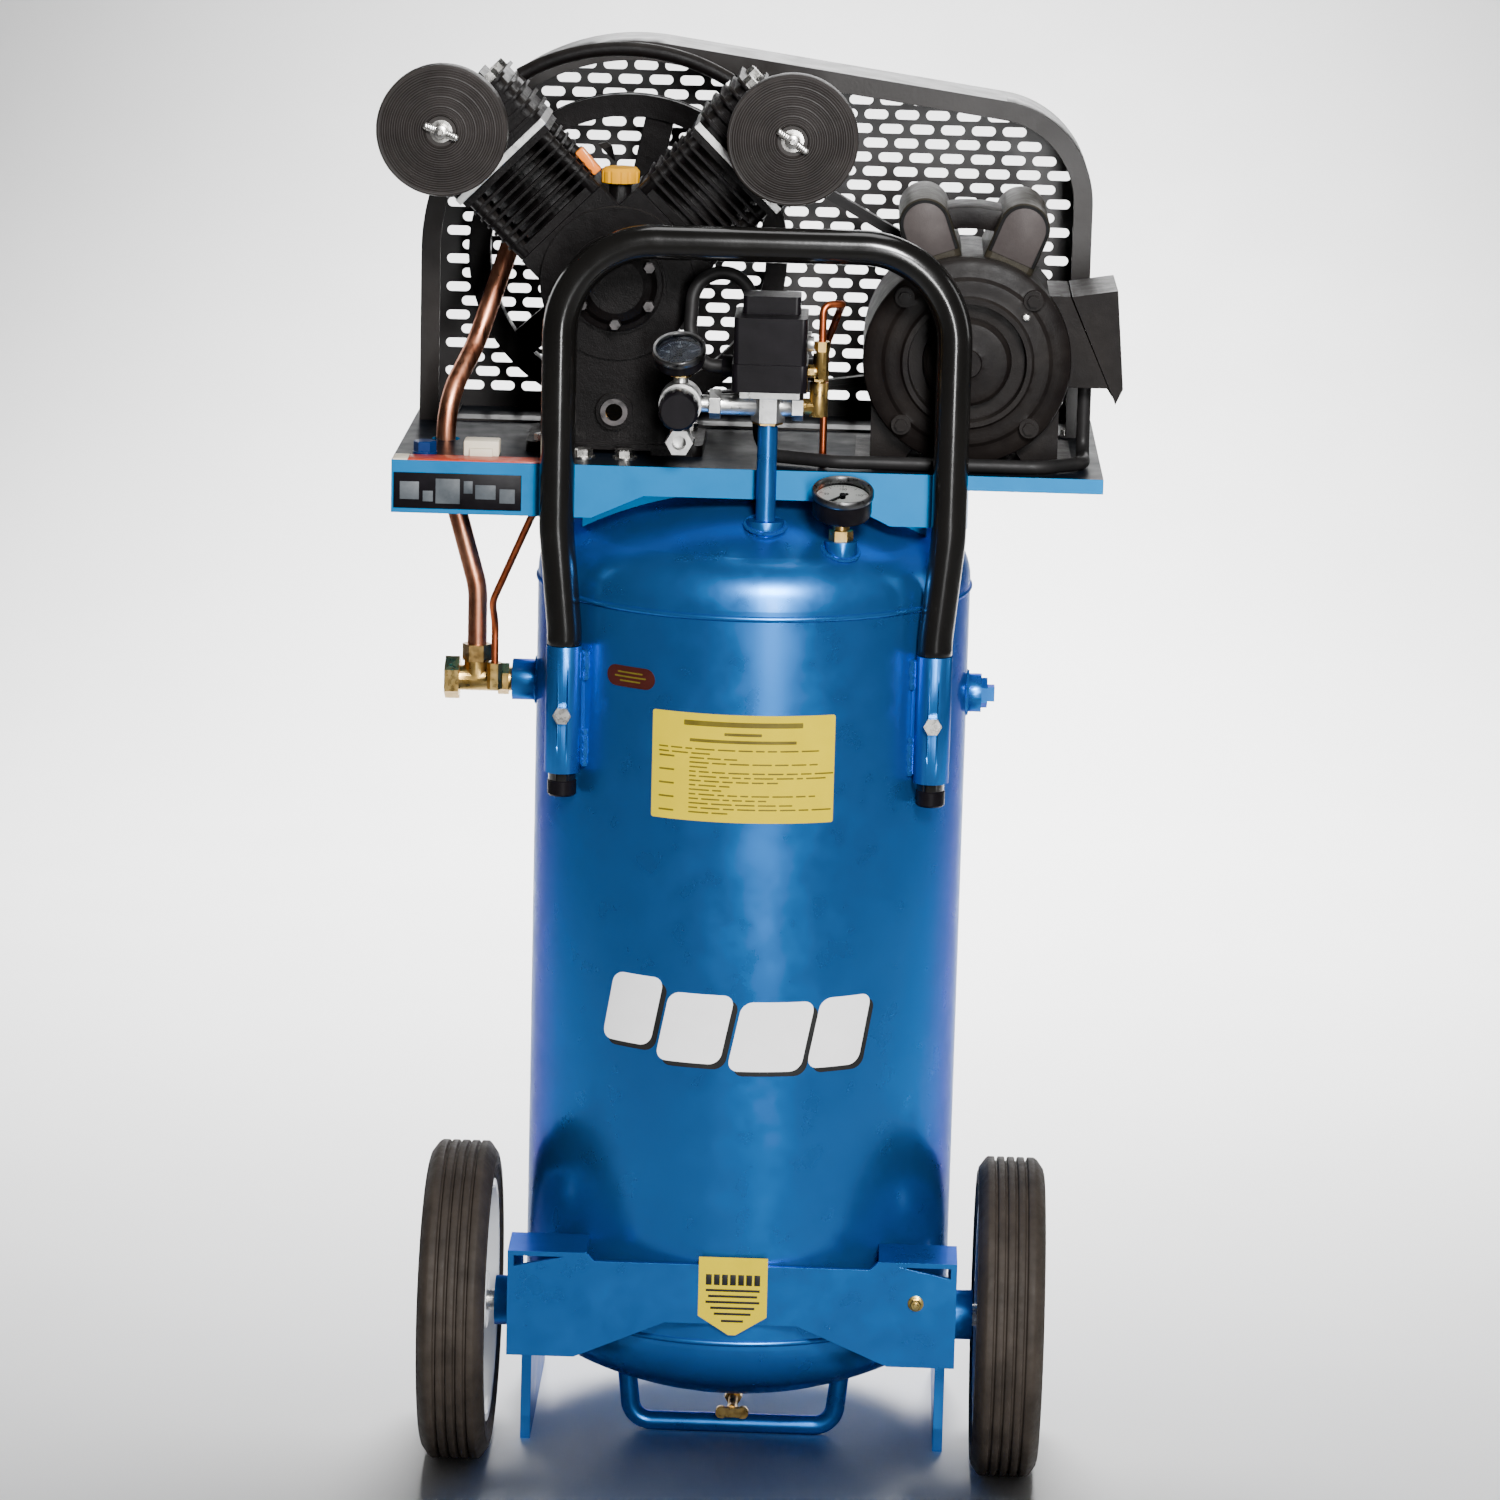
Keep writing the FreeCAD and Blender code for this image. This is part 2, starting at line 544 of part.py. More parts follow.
def oil_cap():
    top = CRANK_Z + 79
    cap = turned_profile([(0, 0), (15.5, 0), (15.5, 9), (13, 12), (0, 12)], (CRANK_X, PUMP_Y - 22, top), Z)
    notches = []
    for k in range(12):
        notch = rod((CRANK_X + 16.6, PUMP_Y - 22, top - 1), Z, 2, 14)
        notch.rotate(V(CRANK_X, PUMP_Y - 22, 0), Z, 30 * k)
        notches.append(notch)
    plug = rod((CRANK_X, PUMP_Y - 22, top - 14), Z, 4.9, 14)
    return fuse(cap.cut(Part.makeCompound(notches)), plug)


def breather():
    """A short bent vent tube with a cap, let into the crankcase's left shoulder."""
    stub = rod((0, 0, 0), Z, 5, 42)
    cap = turned_profile([(0, 28), (8, 28), (8, 41), (5, 45), (0, 45)], (0, 0, 0), Z)
    post = fuse(stub, cap)
    post.rotate(V(0, 0, 0), Y, -14)
    post.translate(V(CRANK_X - 7, PUMP_Y + 18, CRANK_Z + 62))
    return post.cut(crankcase()).cut(on_bank(box(-60, 60, -60, 60, CYL_BASE - 1, HEAD_TOP), -1))


def cylinder(side):
    """Square-finned cylinder, upright over the crank axis before it is tilted."""
    y = -side * ROD_OFFSET
    core = rod((0, y, CYL_BASE - 10), Z, 30.8, 10)
    flange = box(-43, 43, -43, 43, CYL_BASE, CYL_BASE + 7)
    wall = rod((0, y, CYL_BASE), Z, 34, CYL_TOP - CYL_BASE)
    top = box(-FIN_HALF, FIN_HALF, -FIN_HALF, FIN_HALF, CYL_TOP - 6, CYL_TOP)
    fins = []
    fin_count, first, pitch = 6, CYL_BASE + 12.0, 8.0
    for k in range(fin_count):
        z = first + pitch * k
        fin = box(-FIN_HALF, FIN_HALF, -FIN_HALF, FIN_HALF, z, z + 2.4)
        fins.append(soften(fin, 8, lambda e: along(e, Z)))
    posts = [rod((a * 38, b * 38, CYL_BASE), Z, 6, CYL_TOP - CYL_BASE) for a in (-1, 1) for b in (-1, 1)]
    whole = fuse(core, flange, wall, top, *fins, *posts)
    whole = whole.cut(rod((0, y, CYL_BASE - 20), Z, BORE_R, 100))
    return on_bank(whole, side)


def head(side):
    """Finned cylinder head with its inlet and outlet chambers."""
    low = CYL_TOP + PLATE_T
    lower = HEAD_HALF - 4
    body = box(-lower, lower, -lower, lower, low, BOLT_SEAT)
    body = soften(body, 8, lambda e: along(e, Z))
    fins = []
    for k in range(5):
        z = BOLT_SEAT - 3 - 10 * k
        fin = box(-HEAD_HALF, HEAD_HALF, -HEAD_HALF, HEAD_HALF, z, z + 3)
        fins.append(soften(fin, 10, lambda e: along(e, Z)))
    ribs = [box(x, x + 3, -32, 32, BOLT_SEAT, HEAD_TOP) for x in (-36, -24, -12, 9, 21, 33)]
    inlet = rod((side * INLET_SHIFT, -lower, INLET_UP), -Y, 15, 12)
    outlet = rod((0, lower, OUTLET_UP), Y, 13, 8)
    whole = fuse(body, *fins, *ribs, inlet, outlet)
    rooms = [box(-34, -3, -34, 34, low, low + 22), box(3, 34, -34, 34, low, low + 22)]
    inlet_way = fuse(rod((side * INLET_SHIFT, 0, INLET_UP), -Y, 9, 80),
                     rod((side * INLET_SHIFT, 0, low), Z, 9, INLET_UP - low))
    outlet_way = rod((0, 10, OUTLET_UP), Y, TUBE_R - TUBE_WALL, 80)
    return on_bank(whole.cut(Part.makeCompound(rooms)).cut(inlet_way).cut(outlet_way), side)


def valve_plate(side):
    plate = box(-HEAD_HALF + 4, HEAD_HALF - 4, -HEAD_HALF + 4, HEAD_HALF - 4, CYL_TOP, CYL_TOP + PLATE_T)
    ports = [rod((x, y, CYL_TOP - 1), Z, 4, 10) for x in (-14, 14) for y in (-8, 8)]
    return on_bank(plate.cut(Part.makeCompound(ports)), side)


def filter_centre(side):
    return CRANK_X + side * FILTER_OUT, CRANK_Z + FILTER_UP


def air_filter(side):
    """Round intake filter: housing, stepped cover and wing nut on a stud."""
    x, z = filter_centre(side)
    back = PUMP_Y - HEAD_HALF - 9
    base = turned_profile([(0, 0), (FILTER_R - 2, 0), (FILTER_R - 2, 16), (0, 16)], (x, back, z), -Y)
    steps = [(0, 16), (FILTER_R, 16), (FILTER_R, 34)]
    for r0, r1, h in ((50, 42, 37), (40, 33, 39), (31, 24, 41), (22, 15, 42)):
        steps += [(r0, h), (r1, h)]
    steps += [(13, 40), (0, 40)]
    cover = turned_profile(steps, (x, back, z), -Y)
    nut = rod((x, back - 40, z), -Y, 5, 6)
    wings = [box(x + s * 8 - 5, x + s * 8 + 5, back - 47, back - 43.5, z - 3.5, z + 3.5) for s in (-1, 1)]
    stud = rod((x, back - 40, z), -Y, 2.5, 9)
    wing_nut = fuse(nut, stud, *wings)
    wing_nut.rotate(V(x, back, z), Y, 20 if side < 0 else 35)
    return base, cover, wing_nut


def air_filters():
    return group(*air_filter(-1), *air_filter(1))


def crankshaft():
    """Overhung crank: main shaft, counterweighted web and crankpin."""
    throw = STROKE / 2
    pin_start = PUMP_Y - 16
    shaft = rod((CRANK_X, PUMP_Y + 22, CRANK_Z), Y, SHAFT_R, BELT_Y + 22 - PUMP_Y - 22)
    web = fuse(rod((CRANK_X, PUMP_Y + 12, CRANK_Z), Y, 17, 12),
               box(CRANK_X - 14, CRANK_X + 14, PUMP_Y + 12, PUMP_Y + 24, CRANK_Z, CRANK_Z + throw),
               rod((CRANK_X, PUMP_Y + 12, CRANK_Z + throw), Y, 14, 12))
    weight = rod((CRANK_X, PUMP_Y + 12, CRANK_Z), Y, 44, 12).common(
        box(CRANK_X - 34, CRANK_X + 34, PUMP_Y + 12, PUMP_Y + 24, CRANK_Z - 44, CRANK_Z))
    pin = rod((CRANK_X, pin_start, CRANK_Z + throw), Y, 8, 30)
    front_web = fuse(rod((CRANK_X, pin_start - 10, CRANK_Z + throw), Y, 14, 10),
                     box(CRANK_X - 14, CRANK_X + 14, pin_start - 10, pin_start, CRANK_Z, CRANK_Z + throw),
                     rod((CRANK_X, pin_start - 10, CRANK_Z), Y, 17, 10))
    nose = rod((CRANK_X, PUMP_Y - 50, CRANK_Z), Y, 10, 24)
    return fuse(shaft, web, weight, pin, front_web, nose)


def bearing(x, y, z, inner, outer, width):
    """A sealed ball bearing shown as its outer ring and inner sleeve in one ring."""
    return tube((x, y, z), Y, outer, inner + RUNNING_GAP, width)


def shaft_bearings():
    return group(bearing(CRANK_X, PUMP_Y - 46, CRANK_Z, 10, 25.9, 10),
                 bearing(CRANK_X, PUMP_Y + 53, CRANK_Z, SHAFT_R, 26, 13),
                 bearing(MOTOR_X, MOTOR_FRONT + 8, MOTOR_Z, MOTOR_SHAFT_R, 20, 12),
                 bearing(MOTOR_X, MOTOR_BACK - 20, MOTOR_Z, MOTOR_SHAFT_R, 20, 12))


def piston(side):
    """Piston at mid stroke with two rings, wrist pin and rod; the rod stops short of the crankpin."""
    y = -side * ROD_OFFSET
    crown = 104.0
    skirt = 36.0
    body = rod((0, y, crown - skirt), Z, BORE_R - 0.15, skirt)
    body = body.cut(rod((0, y, crown - skirt - 1), Z, 20, skirt - 6))
    grooves = [tube((0, y, crown - d), Z, BORE_R + 1, BORE_R - 2.5, 2) for d in (7, 13)]
    body = body.cut(Part.makeCompound(grooves))
    rings = [tube((0, y, crown - d), Z, BORE_R - RUNNING_GAP, BORE_R - 2.5, 2) for d in (7, 13)]
    pin = rod((0, y - 21, crown - 22), Y, 6, 42)
    body = body.cut(pin)
    small_end = tube((0, y - 5, crown - 22), Y, 10, 6, 10)
    shank = box(-5, 5, y - 4, y + 4, 66, crown - 31)
    link = fuse(small_end, shank).cut(pin)
    pieces = [on_bank(p, side) for p in (body, *rings, pin, link)]
    return group(*pieces)


# ---------------------------------------------------------------- drive
def grooved_wheel(radius, x, z, web):
    """A wheel with one V groove for the belt; web is the profile of its disc and hub."""
    half = 10.0
    groove = 4.8
    rim_profile = [(radius - 18, -half), (radius, -half), (radius, -7.4), (radius - 11, -groove),
                   (radius - 11, groove), (radius, 7.4), (radius, half), (radius - 18, half)]
    return fuse(turned_profile(rim_profile, (x, BELT_Y, z), Y), *web)


def flywheel():
    hub = rod((CRANK_X, BELT_Y - 20, CRANK_Z), Y, 27, 38)
    spokes = []
    for k in range(5):
        spoke = box(CRANK_X - 12, CRANK_X + 12, BELT_Y - 6, BELT_Y + 6,
                    CRANK_Z + 20, CRANK_Z + FLYWHEEL_R - 14)
        spoke.rotate(V(CRANK_X, BELT_Y, CRANK_Z), Y, 12 + 72 * k)
        spokes.append(spoke)
    rim_cut = rod((CRANK_X, BELT_Y - 30, CRANK_Z), Y, FLYWHEEL_R - 15, 60)
    web = fuse(hub, *spokes).common(rim_cut)
    wheel = grooved_wheel(FLYWHEEL_R, CRANK_X, CRANK_Z, [web])
    return wheel.cut(rod((CRANK_X, 0, CRANK_Z), Y, SHAFT_R, 300))


def motor_pulley():
    hub = rod((MOTOR_X, BELT_Y - 14, MOTOR_Z), Y, PULLEY_R - 16, 24)
    wheel = grooved_wheel(PULLEY_R, MOTOR_X, MOTOR_Z, [hub])
    return wheel.cut(rod((MOTOR_X, 0, MOTOR_Z), Y, MOTOR_SHAFT_R, 300))


def belt_loop(inset, half_width):
    """The closed loop round both wheels, as a flat slab whose edge is inset from the rims."""
    big, small = FLYWHEEL_R - inset, PULLEY_R - inset
    across, down = MOTOR_X - CRANK_X, MOTOR_Z - CRANK_Z
    distance = math.hypot(across, down)
    slope = math.atan2(down, across)
    lean = math.acos((big - small) / distance)
    upper, lower = slope + lean, slope - lean

    def at(x, z, radius, angle):
        return V(x + radius * math.cos(angle), BELT_Y - half_width, z + radius * math.sin(angle))

    big_arc = Part.Arc(at(CRANK_X, CRANK_Z, big, upper), at(CRANK_X, CRANK_Z, big, slope + math.pi),
                       at(CRANK_X, CRANK_Z, big, lower))
    small_arc = Part.Arc(at(MOTOR_X, MOTOR_Z, small, lower), at(MOTOR_X, MOTOR_Z, small, slope),
                         at(MOTOR_X, MOTOR_Z, small, upper))
    runs = [Part.LineSegment(big_arc.EndPoint, small_arc.StartPoint),
            Part.LineSegment(small_arc.EndPoint, big_arc.StartPoint)]
    wire = Part.Wire([big_arc.toShape(), runs[0].toShape(), small_arc.toShape(), runs[1].toShape()])
    return Part.Face(wire).extrude(V(0, 2 * half_width, 0))


def belt():
    """V belt in two steps: a wide top layer and a narrower bottom layer."""
    top = belt_loop(BELT_OUT, 6.0).cut(belt_loop(4.0, 6.0))
    bottom = belt_loop(4.0, 5.0).cut(belt_loop(BELT_IN, 5.0))
    return fuse(top, bottom)


# ---------------------------------------------------------------- motor
def motor_shell():
    body = tube((MOTOR_X, MOTOR_FRONT + 22, MOTOR_Z), Y, MOTOR_R, MOTOR_R - 3,
                MOTOR_BACK - MOTOR_FRONT - 44)
    return body


def endbell(front):
    """Cast end cover: stepped face with a recessed ring and a central dome."""
    start = MOTOR_FRONT if front else MOTOR_BACK
    way = Y if front else -Y
    r = MOTOR_R
    profile = [(0, 0), (11, 0), (12, 2.5), (32, 4), (35, 7), (36, 16), (47, 16), (48, 3), (52, 3), (54, 7),
               (66, 8), (69, 11), (r - 5, 13), (r - 1, 15), (r, 17), (r, 21.9), (r - 4, 21.9), (r - 10, 20),
               (r - 20, 17.5), (50, 20), (22, 20), (22, 24), (20, 24), (20, 8), (0, 8)]
    bell = turned_profile(profile, (MOTOR_X, start, MOTOR_Z), way)
    for x, z in through_bolts():
        bell = bell.fuse(rod((x, start + (6 if front else -6), z), way, 8, 14))
    holes = [rod((x, -200, z), Y, 3.1, 500) for x, z in through_bolts()]
    bell = bell.cut(Part.makeCompound(holes))
    if not front:
        bell = bell.cut(rod((MOTOR_X, start + 5, MOTOR_Z), -Y, MOTOR_SHAFT_R + 1, 40))
    return bell


def motor_endbells():
    return group(endbell(True), endbell(False))


def through_bolts():
    spots = []
    for angle in (45, 135, 225, 315):
        a = math.radians(angle)
        spots.append((MOTOR_X + MOTOR_BOLT_R * math.cos(a), MOTOR_Z + MOTOR_BOLT_R * math.sin(a)))
    return spots


def motor_bolts():
    bolts = []
    for x, z in through_bolts():
        bolts.append(bolt((x, MOTOR_FRONT + 6, z), -Y, 3, MOTOR_BACK - MOTOR_FRONT - 12, 9, 4))
    return group(*bolts)


def motor_stator():
    ring = tube((MOTOR_X, MOTOR_FRONT + 50, MOTOR_Z), Y, 58, 42, 75)
    keys = [rod((MOTOR_X + 58 * math.cos(a), MOTOR_FRONT + 50, MOTOR_Z + 58 * math.sin(a)), Y, 6, 75)
            for a in (math.radians(k * 60) for k in range(6))]
    packs = [box(-6, 6, 56, MOTOR_R - 3, 0, 75) for _ in range(3)]
    for k, pack in enumerate(packs):
        pack.rotate(V(0, 0, 0), Z, 120 * k)
        pack.rotate(V(0, 0, 0), X, -90)
        pack.translate(V(MOTOR_X, MOTOR_FRONT + 50, MOTOR_Z))
    return fuse(ring, *packs).common(rod((MOTOR_X, MOTOR_FRONT, MOTOR_Z), Y, MOTOR_R - 3, 200))


def motor_rotor():
    shaft = rod((MOTOR_X, MOTOR_FRONT + 9, MOTOR_Z), Y, MOTOR_SHAFT_R, BELT_Y + 14 - MOTOR_FRONT - 9)
    core = rod((MOTOR_X, MOTOR_FRONT + 48, MOTOR_Z), Y, 41, 78)
    return fuse(shaft, core)


def motor_base():
    """Pressed cradle with a foot on each side."""
    front, back = MOTOR_MID_Y - 55, MOTOR_MID_Y + 55
    feet = [box(MOTOR_X + s * 68 - 20, MOTOR_X + s * 68 + 20, front, back, DECK_TOP, DECK_TOP + 4)
            for s in (-1, 1)]
    cheeks = []
    for s in (-1, 1):
        outline = [(MOTOR_X + s * 50, DECK_TOP), (MOTOR_X + s * 76, DECK_TOP + 4),
                   (MOTOR_X + s * 76, MOTOR_Z - 34),
                   (MOTOR_X + s * 60, MOTOR_Z - 34), (MOTOR_X + s * 40, DECK_TOP + 14)]
        cheeks.append(plate_xz(outline, front, front + 4))
        cheeks.append(plate_xz(outline, back - 4, back))
    pan = box(MOTOR_X - 60, MOTOR_X + 60, front, back, DECK_TOP, DECK_TOP + 3)
    whole = fuse(pan, *feet, *cheeks)
    whole = whole.cut(rod((MOTOR_X, -150, MOTOR_Z), Y, MOTOR_R, 400))
    holes = [rod((x, y, DECK_TOP - 1), Z, 4.2, 12) for x, y in foot_bolts() if x > 0]
    return whole.cut(Part.makeCompound(holes))


def capacitor_cover(angle):
    """D-shaped sheet cover that lies along the motor's top."""
    half, top, length = 21.0, 135.0, 128.0

    def slab(inset, start, end):
        radius = half - inset
        body = box(-radius, radius, start, end, 60, top - half)
        return fuse(body, rod((0, start, top - half), Y, radius, end - start))

    cover = slab(0, 0, length)
    cover = soften(cover, 5, lambda e: e.BoundBox.YLength < 0.01 and e.BoundBox.ZMin > 60.5)
    cover = cover.cut(slab(1.6, 1.6, length - 1.6))
    cover.rotate(V(0, 0, 0), Y, angle)
    cover.translate(V(MOTOR_X, MOTOR_FRONT + 30, MOTOR_Z))
    return cover.cut(rod((MOTOR_X, MOTOR_FRONT - 10, MOTOR_Z), Y, MOTOR_R, 300))


def capacitor(angle):
    body = rod((0, 0, 113), Y, 16, 100)
    body.rotate(V(0, 0, 0), Y, angle)
    body.translate(V(MOTOR_X, MOTOR_FRONT + 42, MOTOR_Z))
    return body


CAPACITOR_ANGLES = (-19.0, 22.0)


def capacitor_covers():
    return group(*[capacitor_cover(a) for a in CAPACITOR_ANGLES])


def capacitors():
    return group(*[capacitor(a) for a in CAPACITOR_ANGLES])


def terminal_box():
    """Wiring box on the motor's right side: a wedge-shaped tray and a lid with a slanted seam."""
    front, back = -46, 50
    low, high = MOTOR_Z - 21, MOTOR_Z + 53
    inner, outer = MOTOR_X + 79, MOTOR_X + 127
    tray_outline = [(inner - 14, low), (outer - 13, low), (outer - 8, low - 8),
                    (inner + 3, high), (inner - 14, high)]
    lid_outline = [(inner + 4.2, high), (outer - 7, high + 6), (outer, low),
                   (outer - 6, low - 13), (outer - 7.6, low - 8)]
    lid = hollowed(lid_outline, front - 2, back + 2, 2.5, 0.86)
    tray = hollowed(tray_outline, front, back, 2.5, 0.86)
    tray = tray.cut(rod((MOTOR_X, -150, MOTOR_Z), Y, MOTOR_R, 400))
    gland_hole = rod((LEAD_END_X, LEAD_END_Y, low - 5), Z, LEAD_R + 0.5, 12)
    return group(tray.cut(gland_hole), lid)


def hollowed(outline, y0, y1, wall, shrink):
    """A closed shell: a slab with a smaller slab of the same outline taken from its inside."""
    mid_x = sum(x for x, z in outline) / len(outline)
    mid_z = sum(z for x, z in outline) / len(outline)
    small = [(mid_x + (x - mid_x) * shrink, mid_z + (z - mid_z) * shrink) for x, z in outline]
    return plate_xz(outline, y0, y1).cut(plate_xz(small, y0 + wall, y1 - wall))


# ---------------------------------------------------------------- belt guard
GUARD_LEFT = GUARD_ARC_X - GUARD_ARC_R
GUARD_RIGHT = GUARD_END_X + GUARD_END_R


def guard_slab(inset, y0, y1, bottom):
    """The guard's outline, inset by a distance, as a slab between two planes."""
    big, small = GUARD_ARC_R - inset, GUARD_END_R - inset
    across, up = GUARD_END_X - GUARD_ARC_X, GUARD_END_Z - GUARD_ARC_Z
    lean = math.atan2(up, across) + math.acos((big - small) / math.hypot(across, up))

    def at(x, z, radius, angle):
        return V(x + radius * math.cos(angle), y0, z + radius * math.sin(angle))

    middle = (math.pi + lean) / 2
    arc = Part.Arc(at(GUARD_ARC_X, GUARD_ARC_Z, big, math.pi), at(GUARD_ARC_X, GUARD_ARC_Z, big, middle),
                   at(GUARD_ARC_X, GUARD_ARC_Z, big, lean))
    corner = Part.Arc(at(GUARD_END_X, GUARD_END_Z, small, lean),
                      at(GUARD_END_X, GUARD_END_Z, small, lean / 2), at(GUARD_END_X, GUARD_END_Z, small, 0))
    left_foot = V(GUARD_ARC_X - big, y0, bottom)
    right_foot = V(GUARD_END_X + small, y0, bottom)
    lines = [Part.LineSegment(left_foot, arc.StartPoint), Part.LineSegment(arc.EndPoint, corner.StartPoint),
             Part.LineSegment(corner.EndPoint, right_foot), Part.LineSegment(right_foot, left_foot)]
    wire = Part.Wire([lines[0].toShape(), arc.toShape(), lines[1].toShape(), corner.toShape(),
                      lines[2].toShape(), lines[3].toShape()])
    return Part.Face(wire).extrude(V(0, y1 - y0, 0))


def guard_frame():
    """Outer wall with an inward flange on the near side, open below the far flange."""
    wall = guard_slab(0, GUARD_NEAR, GUARD_FAR - GUARD_SHEET, DECK_TOP).cut(
        guard_slab(GUARD_SHEET, GUARD_NEAR + GUARD_SHEET, GUARD_FAR, DECK_TOP + GUARD_SHEET))
    window = guard_slab(GUARD_FLANGE, GUARD_NEAR - 1, GUARD_NEAR + 5, DECK_TOP + GUARD_SHEET)
    floor_gap = box(GUARD_LEFT + 30, GUARD_RIGHT - 30, GUARD_NEAR + 24, GUARD_FAR, DECK_TOP - 1, DECK_TOP + 3)
    holes = [rod((x, GUARD_NEAR + 8, DECK_TOP - 1), Z, 3.05, 10)
             for x in (GUARD_LEFT + 14, 0, GUARD_RIGHT - 14)]
    return wall.cut(window).cut(floor_gap).cut(Part.makeCompound(holes))


def guard_mesh():
    """Flat sheet with staggered obround holes."""
    border, slot_long, slot_high = 12.0, 20.0, 8.0
    pitch_x, pitch_z = 26.0, 12.0
    y = GUARD_FAR - GUARD_SHEET
    room = guard_slab(border, y - 1, y + 1, DECK_TOP + border)
    half_long, half_high = slot_long / 2, slot_high / 2
    straight = half_long - half_high

    def fits(x, z):
        corners = [(x - half_long, z), (x + half_long, z), (x - straight, z - half_high),
                   (x + straight, z - half_high), (x - straight, z + half_high),
                   (x + straight, z + half_high)]
        return all(room.isInside(V(a, y, b), 1e-3, True) for a, b in corners)

    def obround(x, z):
        right = Part.Arc(V(x + straight, y, z - half_high), V(x + half_long, y, z),
                         V(x + straight, y, z + half_high))
        left = Part.Arc(V(x - straight, y, z + half_high), V(x - half_long, y, z),
                        V(x - straight, y, z - half_high))
        return Part.Wire([right.toShape(), Part.LineSegment(right.EndPoint, left.StartPoint).toShape(),
                          left.toShape(), Part.LineSegment(left.EndPoint, right.StartPoint).toShape()])

    holes = []
    rows = int((GUARD_ARC_Z + GUARD_ARC_R - DECK_TOP) / pitch_z)
    for row in range(rows):
        z = DECK_TOP + border + 6 + pitch_z * row
        x = GUARD_LEFT + border + (pitch_x / 2 if row % 2 else 0)
        while x < GUARD_RIGHT:
            if fits(x, z):
                holes.append(obround(x, z))
            x += pitch_x
    outline = guard_slab(0, y, y + 1, DECK_TOP)
    outer = [f for f in outline.Faces if abs(f.BoundBox.YMax - y) < 1e-6][0].OuterWire
    sheet = Part.Face([outer] + holes)
    sheet.validate()
    return sheet.extrude(V(0, GUARD_SHEET, 0))


# ---------------------------------------------------------------- controls
def riser_pipe():
    base = dome_height(RISER_X, RISER_Y) - 8
    stack = tube((RISER_X, RISER_Y, base), Z, RISER_R, RISER_R - 3, MANIFOLD_Z - 13 - base)
    return stack


def manifold():
    """Cross-bored bar that the riser, regulator, safety valve and switch screw into."""
    bar = rod((MANIFOLD_LEFT, RISER_Y, MANIFOLD_Z), X, 8.5, MANIFOLD_RIGHT - MANIFOLD_LEFT)
    centre = hexagon((RISER_X, RISER_Y, MANIFOLD_Z - 13), Z, 24, 22)
    seat = box(SWITCH_X - 24, SWITCH_X + 24, RISER_Y - 13, RISER_Y + 13, SWITCH_LOW - 8, SWITCH_LOW)
    collars = [hexagon((x, RISER_Y, MANIFOLD_Z), X, 21, 9) for x in (MANIFOLD_LEFT, MANIFOLD_RIGHT - 9)]
    whole = fuse(bar, centre, seat, *collars)
    bores = [rod((MANIFOLD_LEFT, RISER_Y, MANIFOLD_Z), X, 5, MANIFOLD_RIGHT - MANIFOLD_LEFT),
             rod((RISER_X, RISER_Y, MANIFOLD_Z - 14), Z, 5, 40)]
    return whole.cut(Part.makeCompound(bores))


def safety_valve():
    """Brass relief valve at the manifold's right end, standing upright."""
    spigot = rod((MANIFOLD_RIGHT, RISER_Y, MANIFOLD_Z), X, 6.5, SAFETY_X - MANIFOLD_RIGHT)
    elbow = rod((SAFETY_X, RISER_Y, MANIFOLD_Z - 7.5), Z, 7.5, 27)
    body = hexagon((SAFETY_X, RISER_Y, SAFETY_TOP - 22), Z, 13, 9)
    tower = rod((SAFETY_X, RISER_Y, MANIFOLD_Z + 10), Z, 5.2, SAFETY_TOP - MANIFOLD_Z - 10)
    return fuse(spigot, elbow, body, tower).cut(rod((SAFETY_X, RISER_Y, SAFETY_TOP - 20), Z, 1.6, 30))


def safety_ring():
    stem = rod((SAFETY_X, RISER_Y, SAFETY_TOP - 12), Z, 1.5, 22)
    ring = Part.makeTorus(8, 1.3, V(SAFETY_X, RISER_Y, SAFETY_TOP + 16), X)
    return fuse(stem, ring)


def unloader_valve():
    """Brass elbow on the switch's side that lets the tube between pump and tank blow off."""
    x, y, z = SWITCH_X + 30, UNLOADER_FRONT_Y, SWITCH_LOW + 17
    spigot = rod((x - 6, y, z), X, 3.5, 8)
    collar = hexagon((x + 0.2, y, z), X, 9, 5)
    body = rod((UNLOADER_FRONT_X, y, z - 6), Z, 5, 26)
    nut = hexagon((UNLOADER_FRONT_X, y, z + 16), Z, 11, 8)
    link = rod((x + 4, y, z), X, 3.5, UNLOADER_FRONT_X - x - 4)
    return fuse(spigot, collar, body, nut, link).cut(rod((UNLOADER_FRONT_X, y, z), Z, SMALL_TUBE_R, 40))


def switch_base():
    x0, x1 = SWITCH_X - 30, SWITCH_X + 30
    y0, y1 = RISER_Y - 34, RISER_Y + 34
    lower = box(x0, x1, y0, y1, SWITCH_LOW, SWITCH_LOW + 22)
    lower = soften(lower, 5, lambda e: along(e, Z))
    frame_plate = box(x0 + 8, x1 - 8, y0 + 10, y1 - 6, SWITCH_LOW + 22, SWITCH_LOW + 44)
    gland = tube((x0 - 9, LEAD_START_Y, SWITCH_LOW + 12), X, 9, LEAD_R, 10)
    supply = tube((x1 - 1, RISER_Y + 18, SWITCH_LOW + 12), X, 9, 6, 9)
    whole = fuse(lower, frame_plate)
    ways = [rod((x0 - 1, LEAD_START_Y, SWITCH_LOW + 12), X, LEAD_R, 14),
            rod((x1 - 13, RISER_Y + 18, SWITCH_LOW + 12), X, 6, 14),
            rod((x1 - 6, UNLOADER_FRONT_Y, SWITCH_LOW + 17), X, 3.5, 8)]
    whole = whole.cut(Part.makeCompound(ways))
    return fuse(whole, gland, supply)


